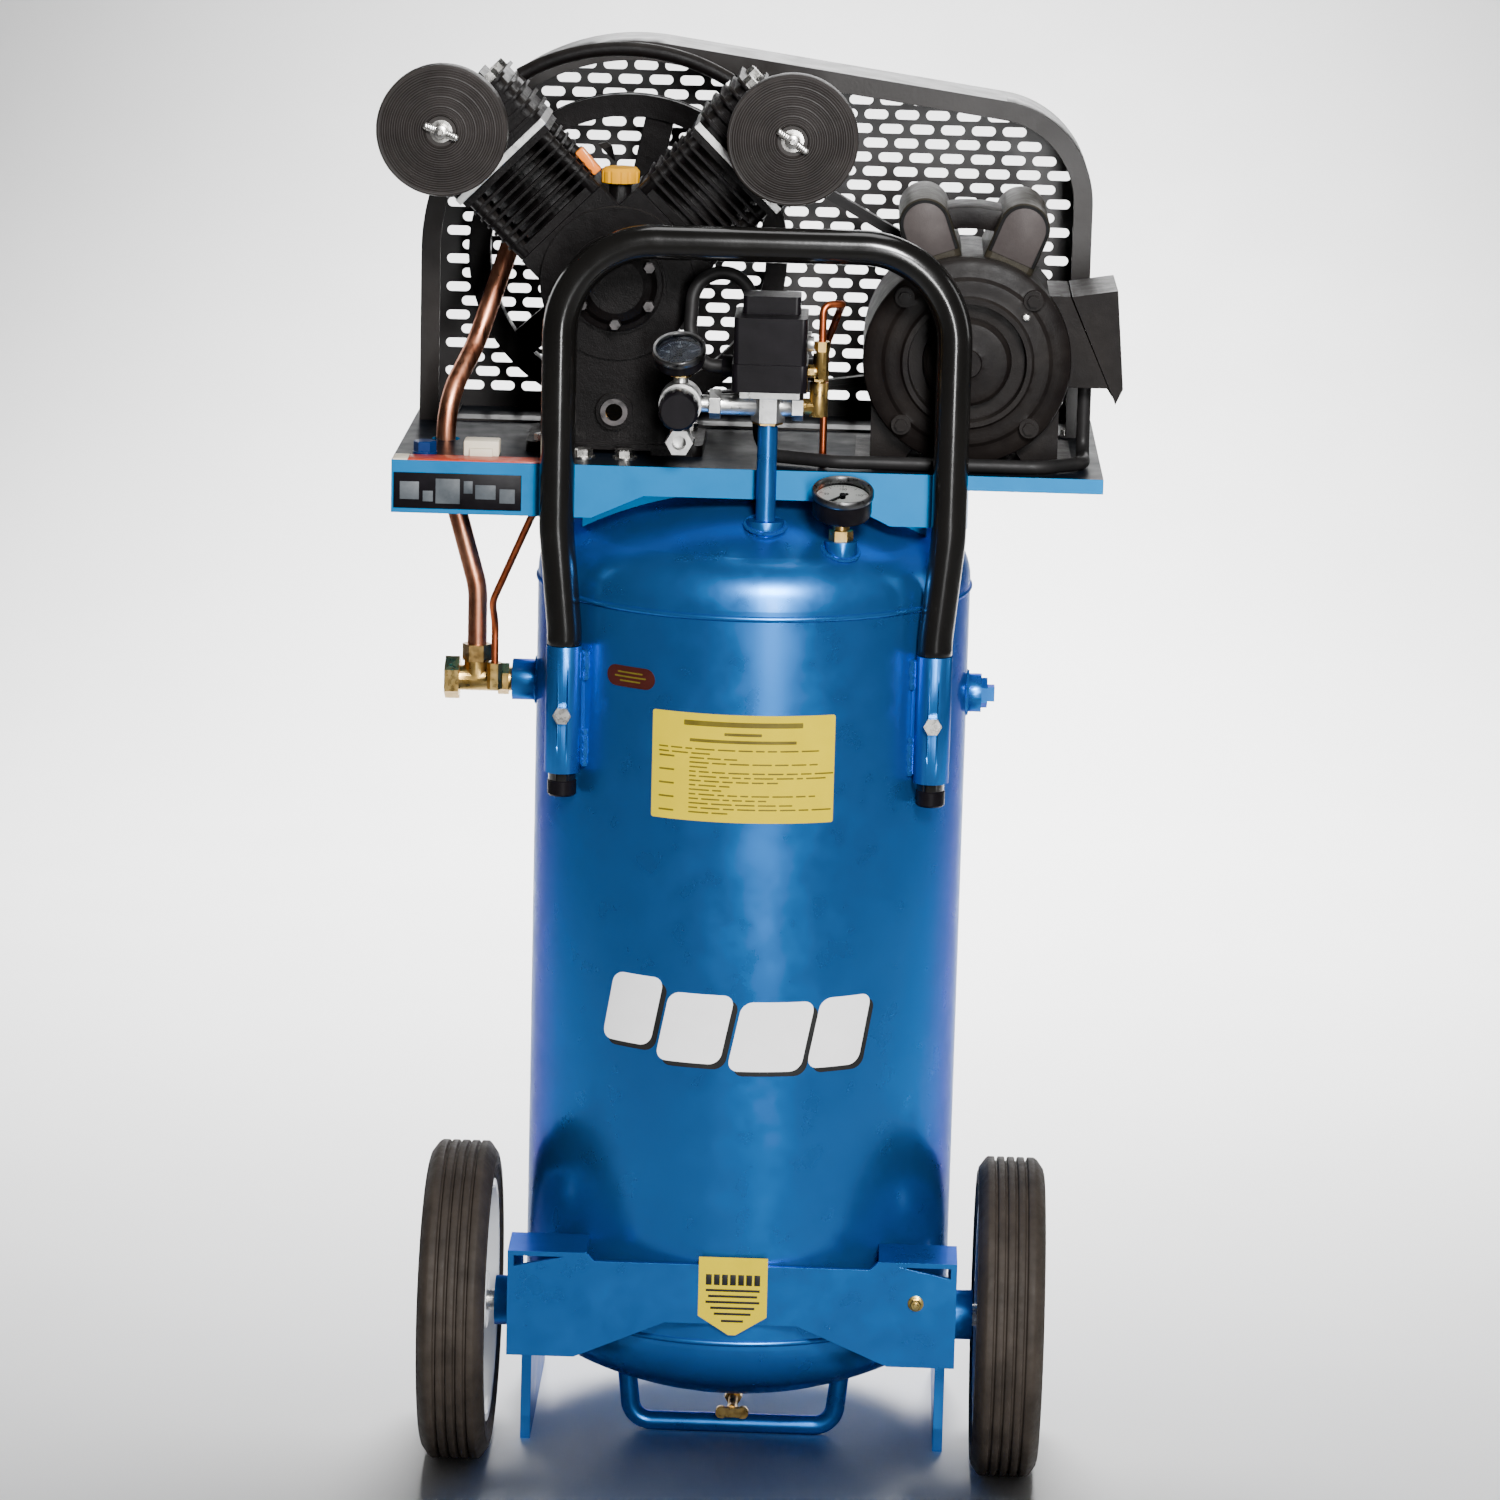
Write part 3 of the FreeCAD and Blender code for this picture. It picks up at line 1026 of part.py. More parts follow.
def switch_cover():
    """Moulded hood over the switch, higher at the back."""
    x0, x1 = SWITCH_X - 29, SWITCH_X + 29
    y0, y1 = RISER_Y - 33, RISER_Y + 33
    low = SWITCH_LOW + 22.2
    hood = box(x0, x1, y0, y1, low, SWITCH_HIGH)
    raised = box(x0 + 6, x1 - 6, y0 + 26, y1 - 4, SWITCH_HIGH - 5, SWITCH_HIGH + 14)
    whole = fuse(hood, raised)
    whole = soften(whole, 4, lambda e: along(e, Z))
    room = box(x0 + 2.5, x1 - 2.5, y0 + 2.5, y1 - 2.5, low - 1, SWITCH_HIGH - 2.5)
    slot = box(x1 - 4, x1 + 2, RISER_Y - 12, RISER_Y + 12, SWITCH_HIGH - 30, SWITCH_HIGH - 8)
    return whole.cut(room).cut(slot)


def switch_lever():
    """Auto/off lever on the right side of the pressure switch."""
    x = SWITCH_X + 28.0
    hub = rod((x - 4, RISER_Y, LEVER_Z), X, 6, 8)
    arm = box(x + 1.4, x + 4, RISER_Y - 22, RISER_Y, LEVER_Z - 3.5, LEVER_Z + 3.5)
    tip = rod((x + 1.4, RISER_Y - 24, LEVER_Z), X, 6, 5)
    return fuse(hub, arm, tip)


def regulator_body():
    """Pressure regulator: body, side spigot to the manifold, bonnet and elbow outlet."""
    x, y, z = REGULATOR_X, RISER_Y, MANIFOLD_Z
    spigot = rod((x, y, z), X, 7, MANIFOLD_LEFT - x)
    body = rod((x, y - 14, z), Y, 17, 30)
    bonnet = turned_profile([(0, 0), (15.5, 0), (14, 10), (12, 14), (0, 14)], (x, y - 14, z), -Y)
    gauge_neck = rod((x, y, z), Z, 6, 21)
    stem = rod((x, y, OUTLET_Z), Z, 8, 20)
    outlet = hexagon((x, y + 8, OUTLET_Z), -Y, 19, OUTLET_REACH + 8)
    whole = fuse(spigot, body, bonnet, gauge_neck, stem, outlet)
    bores = [rod((x, y - OUTLET_REACH - 1, OUTLET_Z), Y, 5.7, 15), rod((x, y - 40, z), Y, 3.05, 28)]
    return whole.cut(Part.makeCompound(bores))


def regulator_knob():
    x, z = REGULATOR_X, MANIFOLD_Z
    back = RISER_Y - 28.5
    knob = turned_profile([(0, 0), (15, 0), (16, 2), (16, 16), (13.5, 20), (0, 20)], (x, back, z), -Y)
    flutes = []
    for k in range(10):
        flute = rod((x + 18, back + 1, z), -Y, 3, 22)
        flute.rotate(V(x, 0, z), Y, 36 * k)
        flutes.append(flute)
    stem = rod((x, back, z), Y, 3, 11)
    return fuse(knob.cut(Part.makeCompound(flutes)), stem)


def gauge_case(centre, facing, radius, depth):
    """Round gauge: open case with a rolled bezel, and its lens."""
    case = turned_profile([(0, 0), (radius * 0.55, 0), (radius - 2, 5), (radius - 1, depth - 5),
                           (radius, depth - 5), (radius, depth), (radius - 3, depth), (radius - 3, 6),
                           (0, 6)],
                          centre, facing)
    face = V(*centre) + facing * (depth - 3)
    lens = rod(tuple(face), facing, radius - 3, 1.6)
    return case, lens


def gauge_needle(centre, facing, radius, depth, angle):
    """A pointer on its spindle, turned to the zero of the dial."""
    seat = V(*centre) + facing * 6.2
    hub = rod((0, 0, 0), Z, 2.5, depth - 11)
    blade = box(-1.0, 1.0, -radius * 0.25, radius * 0.72, depth - 13, depth - 12)
    needle = fuse(hub, blade)
    needle.rotate(V(0, 0, 0), Z, angle)
    needle.Placement = FreeCAD.Placement(seat, FreeCAD.Rotation(Z, facing)).multiply(needle.Placement)
    return needle


TANK_GAUGE_FACING = V(0.02, -0.30, 0.95).normalize()
TANK_GAUGE_POS = (TANK_GAUGE_X, TANK_GAUGE_Y + 6, dome_height(TANK_GAUGE_X, TANK_GAUGE_Y) + 24)
TANK_GAUGE_R, TANK_GAUGE_DEPTH = 25.0, 27.0
OUTLET_GAUGE_FACING = V(-0.05, -0.50, 0.86).normalize()
OUTLET_GAUGE_POS = (REGULATOR_X - 1, RISER_Y + 6, MANIFOLD_Z + 28)
OUTLET_GAUGE_R, OUTLET_GAUGE_DEPTH = 21.5, 20.0


def gauge_cases():
    tank_case, tank_lens = gauge_case(TANK_GAUGE_POS, TANK_GAUGE_FACING, TANK_GAUGE_R, TANK_GAUGE_DEPTH)
    foot = (TANK_GAUGE_X, TANK_GAUGE_Y, dome_height(TANK_GAUGE_X, TANK_GAUGE_Y) - 6)
    stem = fuse(rod(foot, Z, 6.9, 28), hexagon((foot[0], foot[1], foot[2] + 14), Z, 17, 9))
    outlet_case, outlet_lens = gauge_case(OUTLET_GAUGE_POS, OUTLET_GAUGE_FACING, OUTLET_GAUGE_R,
                                          OUTLET_GAUGE_DEPTH)
    neck = rod((REGULATOR_X, RISER_Y, MANIFOLD_Z + 21), Z, 5, 14)
    tank_case = fuse(tank_case, stem.cut(rod(TANK_GAUGE_POS, TANK_GAUGE_FACING, TANK_GAUGE_R - 3, 60)))
    clearance = rod(OUTLET_GAUGE_POS, OUTLET_GAUGE_FACING, OUTLET_GAUGE_R - 3, 60)
    outlet_case = fuse(outlet_case, neck.cut(clearance))
    return group(tank_case, tank_lens, outlet_case, outlet_lens)


def tank_needle():
    return gauge_needle(TANK_GAUGE_POS, TANK_GAUGE_FACING, TANK_GAUGE_R - 3, TANK_GAUGE_DEPTH, 135)


def outlet_needle():
    return gauge_needle(OUTLET_GAUGE_POS, OUTLET_GAUGE_FACING, OUTLET_GAUGE_R - 3, OUTLET_GAUGE_DEPTH, 135)


def check_valve():
    """Brass non-return valve on the tank's left port, with both tube fittings on top."""
    small_x = CHECK_X + SMALL_PORT_X
    run = rod((CHECK_X - 24, 0, PORT_Z), X, 10.5, 44)
    hexes = [hexagon((CHECK_X - 26, 0, PORT_Z), X, 31, 12), hexagon((CHECK_X + 18, 0, PORT_Z), X, 23, 9)]
    spigot = rod((CHECK_X + 20, 0, PORT_Z), X, 9.9, 24)
    neck = rod((CHECK_X, 0, PORT_Z), Z, 10.5, 20)
    nut = hexagon((CHECK_X, 0, PORT_Z + 15), Z, 21, 14)
    small = rod((small_x, -4, PORT_Z), -Y, 4, 12)
    small_nut = hexagon((small_x, SMALL_PORT_Y, PORT_Z - 5), Z, 11, 22)
    whole = fuse(run, *hexes, spigot, neck, nut, small, small_nut)
    bores = [rod((CHECK_X, 0, PORT_Z + 6), Z, TUBE_R, 40),
             rod((small_x, SMALL_PORT_Y, PORT_Z), Z, SMALL_TUBE_R, 40),
             rod((CHECK_X, 0, PORT_Z), X, 5, 60)]
    return whole.cut(Part.makeCompound(bores))


def discharge_tubes():
    """Discharge tube from the left head to the check valve, and the crossover between the heads."""
    head_y = PUMP_Y + HEAD_HALF + 4
    start = on_bank(Part.Vertex(V(0, 0, OUTLET_UP)), -1).Point
    route = [(start.x, head_y, start.z), (start.x, head_y + 24, start.z), (-208, head_y + 26, 1000),
             (-236, head_y - 10, 912), (DISCHARGE_X, DISCHARGE_Y, DECK_TOP + 32),
             (DISCHARGE_X, DISCHARGE_Y, 814),
             (CHECK_X, 0, 716), (CHECK_X, 0, PORT_Z + 6)]
    discharge = pipe(route, [18, 34, 90, 70, 60, 60], TUBE_R, TUBE_R - TUBE_WALL)
    radius, centre_up, y = 168.0, 13.3, PUMP_Y + 30
    half = math.radians(33)
    points = [V(CRANK_X + radius * math.sin(a), y, CRANK_Z + centre_up + radius * math.cos(a))
              for a in (-half, 0, half)]
    arc = Part.Wire(Part.Arc(*points).toShape())
    ring = Part.Wire(Part.makeCircle(CROSSOVER_R, points[0], V(math.cos(half), 0, math.sin(half))))
    crossover = arc.makePipeShell([ring], True, False)
    heads = [on_bank(box(-HEAD_HALF, HEAD_HALF, -HEAD_HALF, HEAD_HALF, CYL_TOP, HEAD_TOP), s)
             for s in (-1, 1)]
    return group(discharge, crossover.cut(heads[0]).cut(heads[1]))


def unloader_tube():
    """Small copper tube from the unloader valve, under the deck, to the check valve."""
    x, y = UNLOADER_FRONT_X, UNLOADER_FRONT_Y
    small_x = CHECK_X + SMALL_PORT_X
    route = [(x, y, SWITCH_LOW + 18), (x, y, 978), (x + 15, y + 8, 978), (x + 13, y + 36, 970),
             (UNLOADER_X, UNLOADER_Y, 935), (UNLOADER_X, UNLOADER_Y, 821), (-150, UNLOADER_Y, 821),
             (-180, UNLOADER_Y + 8, 790), (small_x - 2, SMALL_PORT_Y - 12, 710), (small_x, SMALL_PORT_Y, 690),
             (small_x, SMALL_PORT_Y, PORT_Z)]
    return pipe(route, [7, 7, 14, 24, 12, 18, 30, 30, 30], SMALL_TUBE_R, SMALL_TUBE_R - 1)


def motor_lead():
    """Rubber-covered lead held between the pressure switch and the motor's terminal box."""
    x, y, z = SWITCH_X - 39, LEAD_START_Y, SWITCH_LOW + 12
    rest = DECK_TOP + LEAD_R + 1
    route = [(x, y, z), (x - 15, y, z), (x - 27, y + 9, z + 26), (x - 25, y + 16, z + 62),
             (x - 2, y + 24, z + 76), (x + 20, y + 27, z + 62), (x + 25, y + 30, z + 10),
             (x + 32, y + 29, rest), (64, DECK_FRONT + 12, rest),
             (MOTOR_X + 62, DECK_FRONT + 12, rest), (LEAD_END_X, -60, rest),
             (LEAD_END_X, LEAD_END_Y, rest), (LEAD_END_X, LEAD_END_Y, MOTOR_Z - 21)]
    return pipe(route, [13, 22, 24, 24, 24, 24, 20, 24, 24, 24, 16], LEAD_R)


# ---------------------------------------------------------------- all sub-parts
NODES = {
    "tank_shell": tank_shell,
    "tank_bungs": tank_bungs,
    "drain_valve": drain_valve,
    "drain_knob": drain_knob,
    "drain_guard": drain_guard,
    "axle_bracket": axle_bracket,
    "support_legs": support_legs,
    "stub_axles": stub_axles,
    "rim_left": lambda: rim(-1),
    "rim_right": lambda: rim(1),
    "tyre_left": lambda: tyre(-1),
    "tyre_right": lambda: tyre(1),
    "handle": handle,
    "handle_sockets": handle_sockets,
    "platform": platform,
    "hex_bolts": hex_bolts,
    "crankcase": crankcase,
    "bearing_cover": bearing_cover,
    "sight_glass": sight_glass,
    "oil_cap": oil_cap,
    "breather": breather,
    "cylinders": lambda: group(cylinder(-1), cylinder(1)),
    "valve_plates": lambda: group(valve_plate(-1), valve_plate(1)),
    "cylinder_heads": lambda: group(head(-1), head(1)),
    "air_filters": air_filters,
    "shaft_bearings": shaft_bearings,
    "crankshaft": crankshaft,
    "piston_left": lambda: piston(-1),
    "piston_right": lambda: piston(1),
    "flywheel": flywheel,
    "belt": belt,
    "motor_pulley": motor_pulley,
    "motor_shell": motor_shell,
    "motor_endbells": motor_endbells,
    "motor_bolts": motor_bolts,
    "motor_stator": motor_stator,
    "motor_rotor": motor_rotor,
    "motor_base": motor_base,
    "capacitor_covers": capacitor_covers,
    "capacitors": capacitors,
    "terminal_box": terminal_box,
    "guard_frame": guard_frame,
    "guard_mesh": guard_mesh,
    "riser_pipe": riser_pipe,
    "manifold": manifold,
    "safety_valve": safety_valve,
    "safety_ring": safety_ring,
    "unloader_valve": unloader_valve,
    "switch_base": switch_base,
    "switch_cover": switch_cover,
    "switch_lever": switch_lever,
    "regulator_body": regulator_body,
    "regulator_knob": regulator_knob,
    "gauge_cases": gauge_cases,
    "tank_needle": tank_needle,
    "outlet_needle": outlet_needle,
    "check_valve": check_valve,
    "discharge_tubes": discharge_tubes,
    "unloader_tube": unloader_tube,
    "motor_lead": motor_lead,
}


def main():
    os.makedirs("parts", exist_ok=True)
    shapes = {}
    for name, make in NODES.items():
        shapes[name] = make()
    whole = Part.makeCompound(list(shapes.values())).optimalBoundingBox(False)
    shift = V(-whole.Center.x, -whole.Center.y, -whole.ZMin)
    for name, shape in shapes.items():
        shape.translate(shift)
        shape.exportStep("parts/%s.step" % name)
    print("origin moved by", shift)
    return shapes, shift


SHAPES, SHIFT = main()
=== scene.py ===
import json
import math
import random

import bmesh
import bpy
from mathutils import Matrix, Vector


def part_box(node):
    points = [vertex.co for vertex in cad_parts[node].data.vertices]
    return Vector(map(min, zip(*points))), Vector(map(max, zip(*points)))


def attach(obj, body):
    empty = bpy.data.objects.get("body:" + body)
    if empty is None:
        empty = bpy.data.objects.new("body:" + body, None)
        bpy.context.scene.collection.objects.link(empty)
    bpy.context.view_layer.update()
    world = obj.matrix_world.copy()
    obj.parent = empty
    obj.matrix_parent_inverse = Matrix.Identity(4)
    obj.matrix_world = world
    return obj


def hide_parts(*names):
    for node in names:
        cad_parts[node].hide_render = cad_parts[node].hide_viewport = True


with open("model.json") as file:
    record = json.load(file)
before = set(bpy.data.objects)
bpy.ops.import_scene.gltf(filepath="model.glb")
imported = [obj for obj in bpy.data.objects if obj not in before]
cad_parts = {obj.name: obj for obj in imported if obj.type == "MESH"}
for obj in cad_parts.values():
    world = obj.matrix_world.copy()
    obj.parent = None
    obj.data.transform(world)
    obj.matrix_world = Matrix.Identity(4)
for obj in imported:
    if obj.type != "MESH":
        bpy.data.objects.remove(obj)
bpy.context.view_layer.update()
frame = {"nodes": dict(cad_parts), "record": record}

MM = 0.001
NODES = frame["nodes"]
JOINTS = {joint["name"]: joint for joint in frame["record"]["behaviour"]["joints"]}


# ---------------------------------------------------------------- places read from the frame
TANK_LOW, TANK_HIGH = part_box("tank_shell")
TANK_AXIS = Vector(((TANK_LOW.x + TANK_HIGH.x) / 2, (TANK_LOW.y + TANK_HIGH.y) / 2, 0))
TANK_R = 178.0
PORT_Z = 640.0  # middle height of the tank's two side ports


def place(x, y, z):
    """A point given in millimetres from the tank's axis and the floor."""
    return TANK_AXIS + Vector((x, y, z)) * MM


def spot(node, across=0.5, deep=0.5, up=0.5):
    """A point in a CAD node's box, by shares from 0 to 1, in millimetres as place() takes them."""
    low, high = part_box(node)
    point = Vector([a + (b - a) * share for a, b, share in zip(low, high, (across, deep, up))])
    return (point - TANK_AXIS) / MM


def hub(joint):
    """A joint's place, in millimetres as place() takes them."""
    return (Vector(JOINTS[joint]["pos_m"]) - TANK_AXIS) / MM


def facing(joint):
    """The way a joint's axis points, turned round."""
    return -Vector(JOINTS[joint]["axis"])


PUMP_X, _, PUMP_Z = hub("crank_spin")
MOTOR_X, _, MOTOR_Z = hub("rotor_spin")
REGULATOR_X, _, MANIFOLD_Z = hub("regulator_knob_turn")
WHEEL_X = hub("wheel_right_spin").x
RISER_X, RISER_Y, _ = spot("riser_pipe")
HANDLE_Y = spot("handle").y
SOCKET_X = spot("handle_sockets", 1).x - 14.5
LEG_TOP = spot("support_legs", up=1).z
CROWN_TOP = TANK_HIGH.z / MM
HEAD_DEPTH, KNUCKLE_R = 80, 45
CROWN_R = (((TANK_R - KNUCKLE_R) ** 2 + HEAD_DEPTH ** 2 - KNUCKLE_R ** 2)
           / (2 * (HEAD_DEPTH - KNUCKLE_R)))
RISER_FOOT, GAUGE_FOOT = (10, -115), (71, -130)
RISER_WELD_R, GAUGE_WELD_R, DRAIN_WELD_R = 16.2, 14.8, 14.6
RIGHT_PORT_WELD_R, LEFT_PORT_WELD_R = 17.6, 18.6
SOCKET_WELDS = ((597, 626), (668, 690))  # heights from and to, on each socket's inner side
LEG_WELDS = ((-52, -20), (4, 40), (58, 92))  # depths from and to, on each leg

# Where one CAD node changes finish, in millimetres from its middle, port or crank
SIGHT_LENS_R = 7.2
VALVE_BODY_UP = 13
CROSSOVER_UP = 60

# Pump and motor
FILTER_OUT, FILTER_UP, FILTER_DEPTH, FILTER_RINGS = 139.5, 124.0, 42.0, 19
COVER_SCREW_INSET = 7
TAG_LEFT, TAG_UP, TAG_LEAN = 25.5, 96, math.radians(-42)
GROUND_SCREW_R, GROUND_SCREW_ANGLE, GROUND_SCREW_IN = 60, math.radians(40), 6.4
CAPACITOR_ANGLES = (-19.0, 22.0)
COVER_FOOT, COVER_HEAD = 88, 114
COVER_GAP_HALF, COVER_PANEL_HALF = 20.0, 17.5
BRIDGE_OUTER, BRIDGE_INNER, BRIDGE_IN, BRIDGE_DEPTH = 120.0, 103.0, 22, 60

# Gauges: tick and number places, in degrees from the dial's top, and how far print stands up
DIAL_START, DIAL_SWEEP, DIAL_TICKS, DIAL_STEPS = 135, 270, 40, 4
PRINT_LIFT = 0.12

# Deck
TAPE_END_LEFT, TAPE_LEFT, TAPE_RIGHT, TAPE_DEPTH = -291, -279, -168, 24
CLAMP_LEFT, CLAMP_RIGHT = -236, -207
GUARD_BOLT_X, GUARD_BOLT_IN = -268, 36
FOOT_NUTS, FOOT_NUT_OUT = (-24, 10), 11

# Wheels: (radius, distance out) of each raised ring on a tyre's side
TYRE_RINGS = ((106, 24.5), (113, 27.5), (119, 27.4))
RIM_BOLT_R, RIM_BOLT_OUT = 40, 9.5

# Labels, in millimetres from the tank's axis and the floor
LABEL_GAP, SHEET_LIFT, LINE_LIFT = 0.02, 0.3, 0.42
DECAL_X, DECAL_Z = -3.0, 394.0
LABEL_X, LABEL_Z, LABEL_W, LABEL_H = -2.0, 609.0, 150.0, 88.0
SHIELD_X, SHIELD_Z, SHIELD_HALF_W, SHIELD_HALF_H = 1.0, 170.0, 28, 33
SHIELD_SHOULDER, SHIELD_TAPER = 0.24, 25
SHIELD_OUT, SHIELD_THICK = 0.35, 0.33
OVAL_X, OVAL_Z = -99.0, 676.0
SCREW_X, SCREW_Z = 150.0, 169.0
PLATE_LEFT, PLATE_RIGHT = -290.0, -187.0
PLATE_LOW, PLATE_HIGH = 799.0, 828.0


# ---------------------------------------------------------------- mesh helpers
def turned(start, axis):
    """The matrix that puts a shape made along +Z at start, in millimetres, along axis."""
    turn = Vector((0, 0, 1)).rotation_difference(Vector(axis).normalized())
    return Matrix.Translation(place(*start)) @ turn.to_matrix().to_4x4()


def lathe(mesh, profile, start, axis, sides):
    """Turns (radius, height) points about an axis; a closed profile makes a ring."""
    matrix = turned(start, axis)
    rings = []
    for radius, height in profile:
        if radius < 0.01:  # a point on the axis
            rings.append([mesh.verts.new(matrix @ Vector((0, 0, height * MM)))])
            continue
        ring = []
        for k in range(sides):
            a = 2 * math.pi * k / sides
            point = Vector((radius * math.cos(a), radius * math.sin(a), height)) * MM
            ring.append(mesh.verts.new(matrix @ point))
        rings.append(ring)
    for low, high in zip(rings, rings[1:]):
        for k in range(sides):
            corners = [low[k % len(low)], low[(k + 1) % len(low)]]
            corners += [high[(k + 1) % len(high)], high[k % len(high)]]
            corners = list(dict.fromkeys(corners))
            if len(corners) > 2:
                mesh.faces.new(corners)


def hexagon(mesh, start, axis, across, length, chamfer=0.8):
    """A hexagonal nut or head with a chamfered crown."""
    r = across / math.sqrt(3)
    profile = [(0, 0), (r, 0), (r, length - chamfer), (r - chamfer, length), (0, length)]
    lathe(mesh, profile, start, axis, 6)


def block(mesh, low, high, edge, turn=None):
    """A box between two corners with rounded edges, turned by a matrix if one is given."""
    made = bmesh.ops.create_cube(mesh, size=1.0)["verts"]
    low, high = Vector(low), Vector(high)
    for vertex in made:
        share = vertex.co + Vector((0.5, 0.5, 0.5))
        point = Vector([a + (b - a) * s for a, b, s in zip(low, high, share)]) * MM
        vertex.co = (turn @ point) if turn else TANK_AXIS + point
    edges = list({e for vertex in made for e in vertex.link_edges})
    bmesh.ops.bevel(mesh, geom=edges, offset=edge * MM, segments=2, profile=0.5, affect="EDGES")


def plate_of(mesh, outline, turn, start, end, edge=0.5):
    """A flat plate with an (x, z) outline, from y = start to y = end, turned by a matrix."""
    near = [mesh.verts.new(turn @ (Vector((x, start, z)) * MM)) for x, z in outline]
    far = [mesh.verts.new(turn @ (Vector((x, end, z)) * MM)) for x, z in outline]
    faces = [mesh.faces.new(near), mesh.faces.new(far)]
    for k, corner in enumerate(near):
        after = (k + 1) % len(near)
        faces.append(mesh.faces.new((corner, near[after], far[after], far[k])))
    bmesh.ops.recalc_face_normals(mesh, faces=faces)
    edges = list({e for face in faces[:2] for e in face.edges})
    bmesh.ops.bevel(mesh, geom=edges, offset=edge * MM, segments=2, profile=0.5, affect="EDGES")


def ball(mesh, point, radius, squash=(1, 1, 1), detail=2):
    """A ball at a point, squashed along each axis."""
    made = bmesh.ops.create_icosphere(mesh, subdivisions=detail, radius=radius * MM)["verts"]
    for vertex in made:
        vertex.co = place(*point) + Vector([c * s for c, s in zip(vertex.co, squash)])


def bead(mesh, path, radius, step=0.55):
    """A weld bead: overlapping uneven drops along a path of points."""
    chance = random.Random(len(path))
    for start, end in zip(path, path[1:]):
        start, end = Vector(start), Vector(end)
        drops = max(1, round((end - start).length / (radius * step)))
        for k in range(drops):
            stray = Vector([chance.uniform(-0.12, 0.12) * radius for _ in range(3)])
            at = start.lerp(end, k / drops) + stray
            ball(mesh, at, radius * chance.uniform(0.88, 1.1), detail=1)


def ring_of(centre, axis, radius, count=40):
    """Points of a circle, in millimetres, closed on itself."""
    turn = Vector((0, 0, 1)).rotation_difference(Vector(axis).normalized())
    angles = [2 * math.pi * k / count for k in range(count + 1)]
    circle = [Vector((radius * math.cos(a), radius * math.sin(a), 0)) for a in angles]
    return [Vector(centre) + turn @ point for point in circle]


def add_piece(name, mesh, material, body="compressor"):
    """Makes an object from a bmesh and lets it ride on a body."""
    bmesh.ops.recalc_face_normals(mesh, faces=mesh.faces)
    data = bpy.data.meshes.new(name)
    mesh.to_mesh(data)
    mesh.free()
    data.shade_smooth()
    data.set_sharp_from_angle(angle=math.radians(35))
    data.materials.append(material)
    piece = bpy.data.objects.new(name, data)
    bpy.context.scene.collection.objects.link(piece)
    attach(piece, body)
    return piece


def half_height(x, width, height, corner):
    """Half the height of a rounded rectangle at a distance x from its middle."""
    over = max(0.0, abs(x) - (width / 2 - corner))
    return height / 2 - corner + math.sqrt(max(0.0, corner ** 2 - over ** 2))


def wrap(mesh, middle, width, height, corner, lift, lean=0.0):
    """A thin rounded patch on the tank's front, centred at x = middle[0] and z = middle[1]."""
    columns = max(8, int(width / 2.5))
    shares = [-math.cos(math.pi * k / columns) / 2 for k in range(columns + 1)]
    strips = []
    for share in shares:
        x = share * width
        half = half_height(x, width, height, corner)
        strip = []
        for up in (-half, half):
            a = (middle[0] + x + lean * up) / TANK_R
            pair = []
            for r in (TANK_R + LABEL_GAP, TANK_R + lift):
                point = place(r * math.sin(a), -r * math.cos(a), middle[1] + up)
                pair.append(mesh.verts.new(point))
            strip.append(pair)
        strips.append(strip)
    for (low, high), (next_low, next_high) in zip(strips, strips[1:]):
        mesh.faces.new((low[1], next_low[1], next_high[1], high[1]))
        mesh.faces.new((low[0], next_low[0], next_low[1], low[1]))
        mesh.faces.new((high[1], next_high[1], next_high[0], high[0]))
    for low, high in (strips[0], strips[-1]):
        mesh.faces.new((low[0], low[1], high[1], high[0]))


